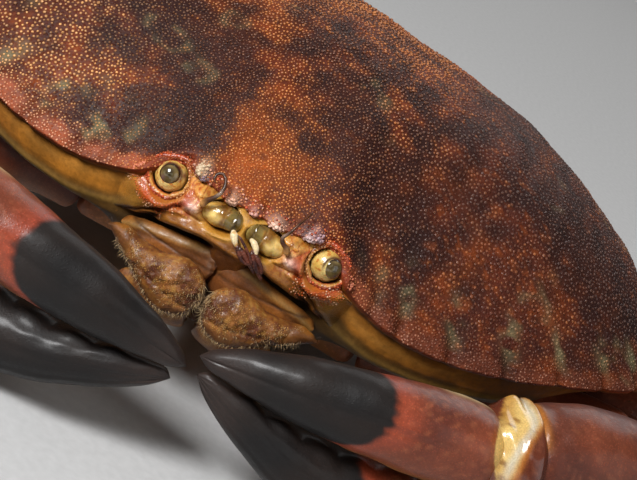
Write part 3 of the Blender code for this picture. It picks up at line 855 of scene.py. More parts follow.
def shellFront(ax, z):
    # how far back the shell's underside lies at that place, read from a table of it
    grid, count = 0.5, 240
    levels, across = np.arange(14, 48.5, grid), np.arange(0, 34.5, grid)
    under = 1 + np.linspace(0, 1, count)
    rows = np.array([shellSurface(np.full(count, turn), under) for turn in np.linspace(0, 0.9, 180)])
    depth = np.empty((len(levels), len(across)))
    for number, level in enumerate(levels):
        found = [[np.interp(-level, -row[:, 2], row[:, k]) for k in (0, 1)] for row in rows]
        x, y = np.array(found).T
        order = np.argsort(x)
        depth[number] = np.interp(across, x[order], y[order])
    row = np.clip((z - levels[0]) / grid, 0, len(levels) - 1.001)
    column = np.clip(ax / grid, 0, len(across) - 1.001)
    i, j = row.astype(int), column.astype(int)
    down, right = row - i, column - j
    near = depth[i, j] * (1 - right) + depth[i, j + 1] * right
    far = depth[i + 1, j] * (1 - right) + depth[i + 1, j + 1] * right
    return near * (1 - down) + far * down


def faceDepth(x, z):
    ax = np.abs(x)
    roof = mouthRoof(ax)
    groove, beside = cheekGroove(ax, z)
    pit = feelerPit(ax, z)
    net, around = faceNet(x, z)
    points = upright(x, z)
    y = faceProfile(z) + faceFall(ax) + 5.5 * mouthOpening(ax, z)
    y -= 0.8 * hill(z - roof - 0.9, 0.8) * (1 - step(ax, 20, 23))
    y += 0.7 * hill(z - roof - 2.7, 0.7) * step(ax, 4, 7) * (1 - step(ax, 15, 18))
    y += (1.1 * hill(groove, 0.45) - 0.7 * hill(groove - 1.6, 1.3)) * beside
    y += 4.6 * step(1 - pit, 0, 0.35) - 0.45 * hill(pit - 1.12, 0.14) * (z < 44.5)
    y += 7.0 * step(1 - fromOrbit(ax, z) / 4.5, 0, 0.2)
    for middle, size, slope, depth in face["bumps"]:
        y += depth * mound(ax, z, middle, size, slope)
    y += 0.16 * net * around
    y -= 0.10 * waves(points, 1.6, 31) + 0.25 * waves(points, 6, 32)
    outer = step(ax, 22.5, 26.5)
    return y * (1 - outer) + (shellFront(ax, z) + 0.1 + 1.6 * step(ax, 26, 30)) * outer


def faceColours(points):
    x, z = points[:, 0], points[:, 2]
    ax = np.abs(x)
    fine, broad = waves(points, 0.9, 41), waves(points, 4, 42)
    groove, beside = cheekGroove(ax, z)
    pit = feelerPit(ax, z)
    net, around = faceNet(x, z)
    webbed = blend(blend("f4bc66", "e0943a", 0.5 + 0.6 * fine), "a5340c", 0.9 * net)
    bump = mound(ax, z, (11.3, 42.37), (1.7, 1.2), 0.1)
    ring = hill(fromOrbit(ax, z) - 5.3, 1.2)
    return layers(
        blend("a0601a", "643610", 0.45 + 0.45 * broad + 0.35 * fine),
        # painted shadow under the epistome, in the middle between the mouth's openings
        ("5e3214", 0.8 * hill(ax, 5.5) * step(38.6 - z, 0, 1.5)),
        # the lip's own gold, partly painted highlight along its crest
        ("b87c2e", 0.35 * hill(z - mouthRoof(ax) - 1.1, 0.9)),
        ("6e3c14", 0.45 * hill(np.abs(waves(points, 1.7, 46)), 0.3) * (1 - step(z, 40, 42))),
        (blend("b98633", "7d5622", step(40 - z, 0, 9)), 0.9 * step(groove, 0, 0.6) * step(ax, 13.5, 16)),
        ("4a2c12", 0.8 * hill(groove, 0.4) * beside),
        (cheekColours(points), step(ax, 21.5, 25.5)),
        ("cf9a3c", 0.8 * hill(pit - 1.1, 0.2)),
        # painted shade inside the pit the feeler folds into
        ("3a2410", step(1 - pit, 0.1, 0.5)),
        (webbed, 1.5 * around),
        ("efc4b2", np.clip(1.3 * bump - 0.3 * net, 0, 0.92)),
        ("a8340f", 0.85 * ring * step(46.5 - z, -1, 3) * (1 - 0.4 * net)),
        ("c2521c", 0.7 * mound(ax, z, (19.5, 39.2), (2.6, 1.4))),
        ("c07c2c", 0.5 * mound(ax, z, (15.0, 38.6), (2.4, 1.0))),
        ("70400f", 0.55 * mound(ax, z, (11.5, 38.2), (5.5, 1.6))),
        # painted shade inside the open mouth and in the slit beside it
        ("20120a", 0.96 * mouthOpening(ax, z)),
        ("2a170b", mound(ax, z, (17.2, 35.4), (2.2, 0.8), 0.5)),
    )


def facePlace(share, angle):
    front = face["frontShare"]
    turn = np.abs(angle) / math.pi  # 0 at the middle of the front, 1 at the middle of the back
    across = np.where(turn <= front, turn / front, (1 - turn) / (1 - front))
    x = np.sign(angle) * across * face["halfWidth"] * np.minimum(1, np.sin(share * math.pi) * 12)
    top = faceTop(np.abs(x))
    z = top - share * (top - faceBottom(np.abs(x)))
    y = faceDepth(x, z)
    return columns(x, np.where(turn <= front, y, np.maximum(y, face["back"])), z)


def buildFace():
    piece, points, _, _ = addBall("facePlate", face["around"], face["rings"], facePlace)
    base = faceColours(points)
    finishPiece(piece, points, base, faceSkin, "carapace")
    ax, z = np.abs(points[:, 0]), points[:, 2]
    fromEye = fromOrbit(ax, z)
    keep = (points[:, 1] < 12) & (fromEye > 4.6) & (fromEye < 7.4 + waves(points, 2, 44))
    keep &= (ax > 13.5) & (z < 47) & ((z < 42.5) | (ax > 19))
    tips = blend("cc5a20", "eec09c", step(waves(points, 1.1, 45), 0.0, 1.0))
    places = columns(points[:, 0], z) / 80 + 0.5
    studs("cheekGrains", piece, points, keep, 0.50, 0.20, tips, base, "shell", places)


faceSkin = fleshMaterial("faceSkin", 0.38, 0.2, 3.0, 0.2)
buildFace()
print("face built")


# the eyes in their orbits

eye = {
    "middle": (17.5, 3.0, 44.0),
    "stalkTurn": (0.10, -0.99, 0.08),
    # the crab's right stalk is painted 1.3 times lighter, as painted light
    "stalkPaintedLight": {1: 1.0, -1: 1.3},
    "look": {1: (0.4, -0.88, 0.2), -1: (0.1, -0.93, 0.3)},
    "corneaAt": {1: (1.05, -1.35, 0.5), -1: (0.25, -1.6, 0.75)},
    "orbitTurn": (0.16, -0.93, 0.26),
    # along the axis, radius; the orbit's go out from the back, over the rim and in again
    "orbit": [(-7.5, 0.0), (-7.0, 3.4), (-3.0, 4.5), (0.2, 4.95), (1.2, 4.9), (1.85, 4.5), (1.95, 4.05)]
    + [(1.6, 3.66), (0.9, 3.5), (-1.0, 3.5), (-4.0, 3.3), (-5.2, 1.8), (-5.3, 0.0)],
    "eyestalk": [(-8.5, 0), (-8.0, 2.0), (-5.0, 2.5), (-2.4, 2.8), (-1.0, 3.14), (0, 3.3), (1.2, 3.07)]
    + [(2.25, 2.4), (2.95, 1.4), (3.2, 0.65), (3.27, 0)],
    "cornea": [(-1.5, 0), (-1.4, 1.6), (-0.5, 2.16), (0.1, 2.22), (0.7, 2.1), (1.3, 1.66), (1.7, 1.05)]
    + [(1.9, 0.45), (1.94, 0)],
}


def addTurned(word, side, around, rings, middle, way, blur=0.03, shape=None):
    # a piece turned round an axis through its middle
    stations = [(along, 0, 0, radius, radius) for along, radius in eye[word]]
    matrix = placing(Vector(middle), Vector(middle) + Vector(way))
    return addLimb(sided(word, side), around, rings, stations, matrix, 1.0, blur, shape)


def orbitShape(along, angle):
    spots = columns(3 * np.cos(angle), 3 * np.sin(angle), along)
    return step(along, 0.2, 1.4) * (0.22 * waves(spots, 1.6, 51) + 0.1 * waves(spots, 0.8, 52))


def buildOrbit(side):
    piece, points, local, share, angle = addTurned(
        "orbit", side, 120, 72, eye["middle"], eye["orbitTurn"], shape=orbitShape
    )
    along, _, up = local.T
    radius = np.hypot(local[:, 1], up)
    crest = share[np.argmax(along)]
    fine = waves(points, 0.8, 53)
    inward = step(16.8 - points[:, 0], 0, 2.6)
    lip = hill(radius - 3.86, 0.22) * (along > 0.4)
    base = layers(
        blend("8e2d16", "b24a22", 0.5 + 0.5 * fine),
        (blend("cf9044", "a05a24", 0.5 + 0.6 * fine), 0.8 * inward),
        (blend("e0a850", "a84c22", step(up, 0.0, 2.2)), 0.9 * lip),
        # painted shade in the socket, inside the orbit's crest
        ("1d110c", 0.97 * (share > crest) * step(1.3 - along, 0, 1.0)),
    )
    finishPiece(piece, points, base, orbitSkin, "carapace", side)
    keep = (along > -0.6) & (radius > 3.9) & (share < crest + 0.03)
    tips = layers("d8602c", ("f2c9b4", step(waves(points, 1.0, 54), 0.1, 0.9)), ("e6b878", 0.8 * inward))
    places = columns(share, angle / (2 * math.pi) + 0.5) * 0.9
    studs(sided("orbitGrains", side), piece, points, keep, 0.56, 0.25, tips, base, "shell", places, side)


def buildStalk(side):
    piece, points, *_ = addTurned("eyestalk", side, 110, 84, eye["middle"], eye["stalkTurn"], 0.02)
    middle = np.array(eye["middle"])
    look = np.array(Vector(eye["look"][side]).normalized())
    away = points - (middle + eye["corneaAt"][side])
    along = away @ look
    off = np.linalg.norm(away - along[:, None] * look, axis=1)
    outward = points - middle
    outward /= np.linalg.norm(outward, axis=1)[:, None] + 1e-9
    front = along > -0.8
    lip = 0.05 * hill(off - 2.36, 0.14) * front
    points = points + outward * lip[:, None]
    fine, broad = waves(points, 0.7, 61), waves(points, 2.2, 62)
    patch = hill(np.linalg.norm(away - (-2.3, 0.3, 0.9), axis=1), 0.6)
    upper = step(away[:, 2] - 0.3 * away[:, 0], -0.6, 1.2)
    base = layers(
        blend("e3cb84", "d3ac55", 0.5 + 0.5 * broad),
        ("b8621f", 0.75 * step(fine, 0.75, 1.1)),
        ("6e2b2a", np.clip(1.2 * patch, 0, 0.85)),
        ("4a2018", (0.2 + 0.75 * upper) * hill(off - 2.2, 0.12 + 0.16 * upper) * front),
        ("5a3620", 0.8 * step((middle - points) @ eye["stalkTurn"], 0.8, 2.6)),
    )
    # painted light: the stalk's colours are scaled per side
    finishPiece(piece, points, base * eye["stalkPaintedLight"][side], stalkSkin, "eyestalk", side)


def buildCornea(side):
    centre = Vector(eye["middle"]) + Vector(eye["corneaAt"][side])
    piece, points, local, *_ = addTurned("cornea", side, 72, 52, centre, eye["look"][side])
    aside, up = local[:, 1], local[:, 2]
    fine, broad = waves(points, 0.5, 71), waves(points, 1.5, 72)
    base = layers(
        blend("78643a", "4c3d22", 0.5 + 0.5 * broad),
        ("211d14", 0.85 * hill(np.hypot(aside / 0.75, up - 0.1), 0.85)),
        ("6b4a58", 0.6 * hill(np.hypot(aside - 0.8, up + 1.2), 0.5)),
        ("8a8468", 0.25 * step(fine, 0.6, 1.2)),
        ("241810", step(np.hypot(aside, up), 1.62, 1.9)),
    )
    finishPiece(piece, points, base, corneaSkin, "eye", side)


def corneaMaterial():
    # clear and wet over a faceted dark inside
    made, tree, shader, place, tint = newMaterial("corneaSkin", 0.16, 0.6, 0.04)
    facets = put(tree, "TexVoronoi", {"Vector": place, "Scale": 9.0}, feature="DISTANCE_TO_EDGE")["Distance"]
    feed(shader, "Base Color", mixed(tree, tint["Color"], ramp(tree, facets, (0.0, 0.75), (0.12, 1.0)), 0.5))
    return made


orbitSkin = shellMaterial("orbitSkin", 2.6, 0.35, 0.36, 0.4)
stalkSkin = fleshMaterial("stalkSkin", 0.22, 0.7, 3.5, 0.03)
corneaSkin = corneaMaterial()
for side in (1, -1):
    buildOrbit(side)
    buildStalk(side)
    buildCornea(side)
print("eyes built")


# antennules, antennae and the edges of the mouth

feelers = {
    # x, y, z, half width, half height
    "bulb": [(9.2, 1.6, 42.9, 0, 0), (8.9, 1.0, 42.9, 1.3, 1.1), (7.6, 0.1, 42.9, 2.2, 2.1)]
    + [(6.0, -0.2, 43.1, 2.5, 2.55), (4.3, -0.2, 43.4, 2.4, 2.45), (3.3, -0.3, 43.5, 2.3, 2.35)]
    + [(2.0, -0.4, 43.6, 2.0, 2.2), (0.9, 0.0, 43.6, 1.2, 1.3), (0.5, 0.6, 43.6, 0, 0)],
    "cap": {
        1: [(2.0, -2.6, 42.6, 0, 0), (2.3, -3.2, 43.0, 0.45, 0.45), (3.0, -3.9, 43.0, 0.66, 0.6)]
        + [(3.9, -4.3, 42.3, 0.62, 0.56), (4.4, -4.5, 41.4, 0.36, 0.34), (4.5, -4.5, 41.1, 0, 0)],
        -1: [(1.6, -2.6, 42.3, 0, 0), (1.5, -3.1, 42.6, 0.55, 0.5), (1.1, -3.8, 42.3, 0.82, 0.7)]
        + [(0.4, -4.3, 41.5, 0.6, 0.56), (-0.4, -4.5, 40.8, 0.32, 0.3), (-0.6, -4.5, 40.5, 0, 0)],
    },
    "whips": {
        1: [
            [(3.3, -4.0, 41.9, 0, 0), (3.7, -4.3, 41.6, 0.42, 0.42), (5.1, -4.6, 40.8, 0.5, 0.5)]
            + [(6.6, -4.6, 39.6, 0.42, 0.42), (7.2, -4.5, 38.5, 0.3, 0.3), (7.3, -4.5, 38.1, 0, 0)],
            [(3.1, -3.9, 41.6, 0, 0), (3.6, -4.1, 41.1, 0.5, 0.5), (4.6, -4.3, 40.0, 0.66, 0.6)]
            + [(5.9, -4.3, 38.7, 0.55, 0.5), (7.5, -4.1, 37.4, 0.34, 0.34), (8.0, -4.0, 37.0, 0, 0)],
        ],
        -1: [
            [(0.6, -4.2, 42.9, 0, 0), (-0.2, -4.4, 42.7, 0.26, 0.26), (-1.7, -4.6, 41.8, 0.3, 0.3)]
            + [(-3.2, -4.8, 40.8, 0.3, 0.3), (-4.4, -4.9, 39.6, 0.26, 0.26), (-4.8, -4.9, 39.0, 0, 0)],
            [(0.0, -4.3, 41.2, 0, 0), (-0.5, -4.5, 40.9, 0.4, 0.4), (-1.3, -4.6, 39.9, 0.46, 0.46)]
            + [(-2.5, -4.5, 38.9, 0.4, 0.4), (-3.9, -4.4, 38.6, 0.3, 0.3), (-4.5, -4.4, 38.7, 0, 0)],
            [(-0.4, -4.2, 41.0, 0, 0), (-1.0, -4.3, 40.7, 0.5, 0.5), (-2.4, -4.4, 40.2, 0.6, 0.55)]
            + [(-4.1, -4.3, 39.0, 0.5, 0.5), (-5.7, -4.1, 37.8, 0.3, 0.3), (-6.1, -4.0, 37.4, 0, 0)],
        ],
    },
    "whipJoints": 12,
    "antenna": {
        1: [(9.6, -2.6, 43.6, 0, 0), (9.4, -2.9, 44.2, 0.75, 0.75), (8.9, -3.3, 45.2, 0.6, 0.6)]
        + [(8.2, -3.5, 45.5, 0.44, 0.44), (7.4, -3.5, 46.0, 0.40, 0.40), (7.2, -3.5, 46.9, 0.37, 0.37)]
        + [(7.7, -3.6, 47.8, 0.34, 0.34), (8.2, -3.4, 49.0, 0.31, 0.31), (8.7, -2.4, 50.4, 0.28, 0.28)]
        + [(9.3, -0.9, 51.6, 0.24, 0.24), (9.9, 0.6, 52.6, 0.18, 0.18), (10.1, 1.0, 52.8, 0, 0)],
        -1: [(9.6, -2.6, 43.6, 0, 0), (9.4, -2.9, 44.2, 0.75, 0.75), (8.9, -3.4, 45.6, 0.6, 0.6)]
        + [(8.0, -3.7, 46.9, 0.44, 0.44), (7.3, -3.6, 48.2, 0.40, 0.40), (7.2, -2.9, 49.6, 0.36, 0.36)]
        + [(7.8, -2.0, 50.8, 0.33, 0.33), (8.9, -1.5, 51.3, 0.30, 0.30), (9.8, -1.6, 50.7, 0.27, 0.27)]
        + [(9.9, -2.2, 49.7, 0.24, 0.24), (9.2, -2.5, 49.2, 0.18, 0.18), (8.9, -2.5, 49.3, 0, 0)],
    },
    "antennaJoints": 40,
    # x and the value there
    "foldTop": [(0.0, 33.4), (0.8, 35.4), (3, 36.1), (7, 35.8), (10, 35.0), (14, 34.3), (18, 33.2), (21, 31.7)]
    + [(22, 30.6)],
    "foldLow": [(0.0, 31.0), (0.8, 28.0), (3, 26.4), (7, 25.5), (14, 26.2), (18, 27.5), (21, 29.0), (22, 30.0)],
    "foldFront": [(0.0, 0.8), (0.8, 0.2), (3, 0.0), (8, -0.5), (14, 0.2), (18, 1.4), (22, 3.6)],
    "foldEnd": {1: (-2.4, 1.6), -1: (1.0, 0.0)},  # its inner end moved outwards and back, so that one overlaps
    "foldTint": {1: "6b4430", -1: "8f8074"},
}
foldTop, foldLow, foldFront = [rowCurve(feelers[key], 0.8) for key in ("foldTop", "foldLow", "foldFront")]


def bulbShape(share, angle):
    creases = hill(waves(rolled(14 * share, angle, 2.4), 1.3, 83), 0.3) * (1 - step(share, 0.5, 0.58))
    return 0.06 * hill(share - 0.5, 0.06) - 0.05 * hill(share - 0.60, 0.02) - 0.07 * creases


def buildBulb(side):
    piece, points, share, _ = addPath(sided("antennuleBase", side), 80, 80, feelers["bulb"], 0.06, bulbShape)
    x, z = points[:, 0], points[:, 2]
    fine, broad = waves(points, 0.9, 81), waves(points, 2.0, 82)
    inner = step(share + 0.03 * fine, 0.56, 0.64)
    # a painted highlight on the bulb's outer lobe
    paintedHighlight = hill(np.hypot((x - 6.9) / 1.5, (z - 43.4) / 1.3) + 0.3 * fine, 1)
    base = layers(
        blend("cb9434", "8a6226", 0.5 + 0.5 * broad),
        (blend("7d6f3c", "5c4a24", 0.5 + 0.6 * broad), 0.9 * inner),
        ("c0a860", 0.7 * hill(share - 0.84 - 0.01 * (z - 43), 0.035)),
        ("d8b46a", 0.6 * hill(share - 0.585, 0.014)),
        ("4a381c", 0.5 * hill(share - 0.61, 0.012)),
        ("f8d684", 0.9 * paintedHighlight * (1 - inner)),
        ("6a3c14", 0.7 * step(np.hypot(x - 7.6, z - 43), 2.2, 3.4) * (1 - inner)),
    )
    finishPiece(piece, points, base, bulbSkin, "antennule", side)


def bulbMaterial():
    # wet skin that light goes into
    made, tree, shader, place, tint = newMaterial("bulbSkin", 0.16, 0.9, 0.06)
    fine = noise(tree, place, 1.4, 4.0)
    feed(shader, "Base Color", mixed(tree, tint["Color"], ramp(tree, fine, (0.35, 0.6), (0.62, 1.0)), 0.6))
    soften(shader, 0.5, (1.0, 0.7, 0.25), 1.5)
    raised(shader, (fine, 0.25, 0.5))
    return made


def whipShape(share, angle):
    return 0.02 * np.cos(share * 2 * math.pi * feelers["whipJoints"] + 0.8 * np.sin(angle))


def buildWhips(side):
    piece, points, *_ = addPath(sided("antennuleCap", side), 40, 40, feelers["cap"][side], 0.06)
    pale = blend("efdcb0", "c99a58", step(waves(points, 1.4, 85), 0.2, 1.4))
    base = blend(pale, "8a5428", 0.8 * step(-points[:, 1], 3.2, 2.5))
    finishPiece(piece, points, base, whipSkin, side=side)
    for number, path in enumerate(feelers["whips"][side]):
        name = sided(f"antennuleWhip{number}", side)
        piece, points, share, angle = addPath(name, 32, 100, path, 0.06, whipShape)
        joints = step(-np.cos(share * 2 * math.pi * feelers["whipJoints"]), 0.7, 1.0)
        joints *= step(waves(points, 1.2, 87), -0.4, 0.8)
        edges = hill(np.sin(angle), 0.22) * step(waves(points, 1.6, 89), -0.6, 0.6)
        base = blend("6a3424", "331716", 0.5 + 0.5 * waves(points, 0.8, 86))
        base = blend(base, "c08a68", 0.25 * joints + 0.55 * edges)
        finishPiece(piece, points, base, whipSkin, side=side)


def antennaShape(share, angle):
    return 0.015 * np.cos(share * 2 * math.pi * feelers["antennaJoints"]) * (share > 0.2)


def buildAntenna(side):
    path = feelers["antenna"][side]
    piece, points, share, _ = addPath(sided("antennaWhip", side), 24, 180, path, 0.05, antennaShape)
    base = layers(
        blend("5e331a", "38200f", 0.5 + 0.5 * waves(points, 1.2, 88)),
        ("b8844c", 1 - step(share, 0.10, 0.24)),
        ("a08a78", 0.6 * hill(share - 0.40, 0.06)),
    )
    finishPiece(piece, points, base, whipSkin, "antenna", side)


def leafPoints(x, top, low, front, thick, angle, square, lumps):
    # an upright leaf between its top and low edges, with lumps on its front
    ahead, up = np.cos(angle), np.sin(angle)
    z = (top + low) / 2 + (top - low) / 2 * np.sign(up) * np.abs(up) ** square
    y = front + thick - (thick + lumps(x, z, top) * step(ahead, -0.2, 0.4)) * ahead
    return columns(x, y, z)


def foldLumps(x, z, top):
    spots = upright(x, z)
    lump = 0.22 * hill(z - top + 1.1, 0.9) - 0.1 * hill(z - top + 2.4, 0.6)
    lump -= 0.15 * hill(z - 31.7 - 0.03 * x, 0.3)
    return lump + 0.12 * waves(spots, 3.0, 91) + 0.03 * waves(spots, 0.8, 92)


def buildFold(side):
    # the smooth plate behind the mouth's opening, with its poles at its inner edge and outer corner
    aside, behind = feelers["foldEnd"][side]

    def place(share, angle):
        x = 22 * (0.5 - 0.5 * np.cos(share * math.pi)) ** 1.1
        top, low, front = foldTop(x), foldLow(x), foldFront(x) + behind * (1 - step(x, 0, 4.5))
        x = x + aside * (1 - step(x, 0, 6))
        top = top + side * 0.4 * hill(x - 5, 4)
        thick = 1.5 * step(share, 0, 0.12) * (1 - step(share, 0.88, 1)) + 0.2
        return leafPoints(x, top, low, front, thick, angle, 0.7, foldLumps)

    piece, points, *_ = addBall(sided("mouthFold", side), 150, 110, place)
    x, z = points[:, 0], points[:, 2]
    fine, broad = waves(points, 1.0, 93), waves(points, 4, 94)
    streaks = waves(points * (0.25, 1, 1), 1.2, 95)
    below = foldTop(np.maximum(x, 0)) - z
    inner = hill(x - 2.0, 1.1) * step(z, 30, 32.5)
    base = layers(
        blend("8c5420", "5c3414", 0.5 + 0.4 * broad + 0.3 * streaks),
        # painted highlight along the fold's upper ridge
        ("98783c", 0.5 * hill(below - 1.0, 0.7)),
        ("70401e", 0.7 * (1 - step(x, 1, 7))),
        (feelers["foldTint"][side], 0.4 * inner * step(fine, -1, 0.8)),
        ("452810", 0.7 * hill(z - 31.7 - 0.03 * x, 0.3) + 0.4 * hill(below - 2.3, 0.35)),
    )
    finishPiece(piece, points, base, foldSkin, side=side)


foldSkin = fleshMaterial("foldSkin", 0.46, 0.08, 2.4, 0.06)
bulbSkin = bulbMaterial()
whipSkin = fleshMaterial("whipSkin", 0.42, 0.15, 3.0, 0.04)
for side in (1, -1):
    buildBulb(side)
    buildWhips(side)
    buildAntenna(side)
    buildFold(side)
print("feelers built")


# the outer mouth parts

jaws = {
    # x and the value there
    "top": [(0.2, 26.8), (1.0, 29.4), (2.2, 30.7), (4.0, 31.9), (6.5, 32.3), (9, 31.6), (12, 30.5)]
    + [(16, 30.5), (20, 31.2), (22.4, 30.6), (23.8, 29.6)],
    "low": [(0.2, 26.4), (1.0, 23.6), (2.2, 21.6), (4.0, 20.4), (6.5, 19.8), (9, 20.2), (12, 22.0)]
    + [(16, 24.6), (20, 27.0), (22.4, 28.6), (23.8, 29.4)],
    "front": [(0.2, -3.2), (2.2, -4.3), (6.5, -5.0), (12, -4.2), (16, -3.0), (20, -1.6), (23.8, 0.6)],
    "thick": [(0.2, 0.4), (1.2, 2.2), (6.5, 3.6), (14, 3.2), (20, 2.2), (23.8, 0.5)],
    # x, y, z, half width, half height
    "stem": [(9.6, 0.0, 25.0, 0, 0), (9.6, -0.4, 24.6, 7.4, 1.8), (9.4, -0.2, 22.0, 8.2, 2.4)]
    + [(9.2, 1.6, 18.6, 8.0, 2.4), (8.6, 8.0, 15.0, 7.6, 2.0), (8.0, 20.0, 13.4, 7.0, 1.8)]
    + [(7.4, 33.0, 13.4, 5.8, 1.6), (7.2, 36.6, 13.4, 0, 0)],
    "hairs": 700,
    "hairWidth": 0.06,
}
jawTop, jawLow, jawFront, jawThick = [rowCurve(jaws[key], 0.6) for key in ("top", "low", "front", "thick")]


def jawColours(points, seed):
    fine, broad = waves(points, 0.8, seed), waves(points, 3.2, seed + 1)
    return layers(
        blend("96602a", "623815", 0.5 + 0.5 * broad),
        ("5c2a1a", 0.6 * step(fine + 0.6 * broad, 0.3, 1.2)),
        ("b08440", 0.45 * step(-fine - 0.5 * broad, 0.5, 1.2)),
    )


def buildJawHairs(side, points):
    # short hairs along the leaf's lower and inner edges and in tufts on its face
    draw = np.random.default_rng(112)
    count = jaws["hairs"]
    x, y, z = points.T
    edge = (z < jawLow(x) + 1.4) | (x < 1.8)
    tuft = (waves(points, 2.2, 113) > 0.1) & (z > 22.5)
    near = np.flatnonzero((edge | tuft) & (y < jawFront(x) + 2.2) & (x > 0.4) & (x < 21))
    chosen = draw.choice(near, count, replace=False)
    roots, onEdge = points[chosen], edge[chosen]
    aside = draw.normal(0, 0.45, count) - 0.3 * (roots[:, 0] < 2)
    leans = columns(aside, np.full(count, -0.6), np.where(onEdge, -0.9, -0.7))
    leans += draw.normal(0, 0.3, (count, 3))
    lengths = draw.uniform(0.4, 1.6, count) * np.where(onEdge, 1.1, 0.6)
    shades = blend("c8a878", "5b4432", draw.uniform(0, 1, count))
    flip, widths = (side, 1, 1), np.full(count, jaws["hairWidth"])
    rows = (roots * flip, leans * flip, widths, lengths, shades, columns(roots[:, 0], roots[:, 2]) / 40)
    scatter(sided("jawHairs", side), cone, hairSkin, "mouth", *rows)


def jawLumps(x, z, top):
    spots = upright(x, z)
    lump = 0.5 * mound(x, z, (6.0, 29.2), (4.2, 2.6)) + 0.4 * mound(x, z, (13.0, 28.0), (3.4, 2.0))
    lump -= 0.3 * hill(x - 9.6 + 0.45 * (z - 29), 0.8) * step(z, 26, 29)
    lump -= 0.25 * hill(z - 24.6 - 0.20 * (x - 6), 0.5) * (1 - step(x, 13, 18))
    lump -= 0.35 * hill(x - 17.4 - 0.3 * (z - 28), 0.6)
    rough = step(z, 23.4, 25.6) * (1 - step(x, 17, 18.5))
    lump += (0.10 + 0.15 * rough) * waves(spots, 1.6, 101)
    return lump + (0.03 + 0.09 * rough) * waves(spots, 0.7, 102)


def jawPlace(share, angle):
    # the leaf that closes the mouth, with its poles at its inner edge and outer corner
    x = 0.2 + 23.6 * (0.5 - 0.5 * np.cos(share * math.pi)) ** 1.15
    return leafPoints(x, jawTop(x), jawLow(x), jawFront(x), jawThick(x), angle, 0.8, jawLumps)


def stemShape(share, angle):
    return 0.25 * np.sin(angle * 2) + 0.1 * np.sin(share * 40)


def buildJaw(side):
    piece, points, *_ = addBall(sided("jawLeaf", side), 190, 150, jawPlace)
    x, z = points[:, 0], points[:, 2]
    low = step(24.4 + 0.2 * (x - 6) + 0.6 * waves(points, 2, 110) - z, 0, 2)
    smooth = np.clip(step(x, 17.0, 18.6) + low, 0, 1)
    base = layers(
        jawColours(points, 103),
        (blend("9c6426", "683c18", 0.5 + 0.5 * waves(points, 4, 107)), 0.85 * smooth),
        # painted shade towards the leaf's lower edge
        ("45281a", 0.7 * step(jawLow(x) + 3.4 - z, 0, 3)),
    )
    finishPiece(piece, points, base, jawSkin, "maxilliped", side)
    keep = (points[:, 1] < jawFront(x) + 1.2) & (smooth < 0.3)
    speckle = step(waves(points, 0.9, 108) + 0.5 * waves(points, 3, 109), 0.1, 1.2)
    tips = blend(base * 1.25, "c9974c", 0.75 * speckle)
    places = columns(x, z) / 40
    studs(sided("jawGrains", side), piece, points, keep, 0.34, 0.14, tips, base, "mouth", places, side)
    buildJawHairs(side, points)
    piece, points, *_ = addPath(sided("jawStem", side), 72, 90, jaws["stem"], 0.06, stemShape)
    finishPiece(piece, points, jawColours(points, 105), jawSkin, "maxilliped", side)


jawSkin = fleshMaterial("jawSkin", 0.46, 0.1, 2.2, 0.2)
for side in (1, -1):
    buildJaw(side)
print("mouth parts built")


# the claws

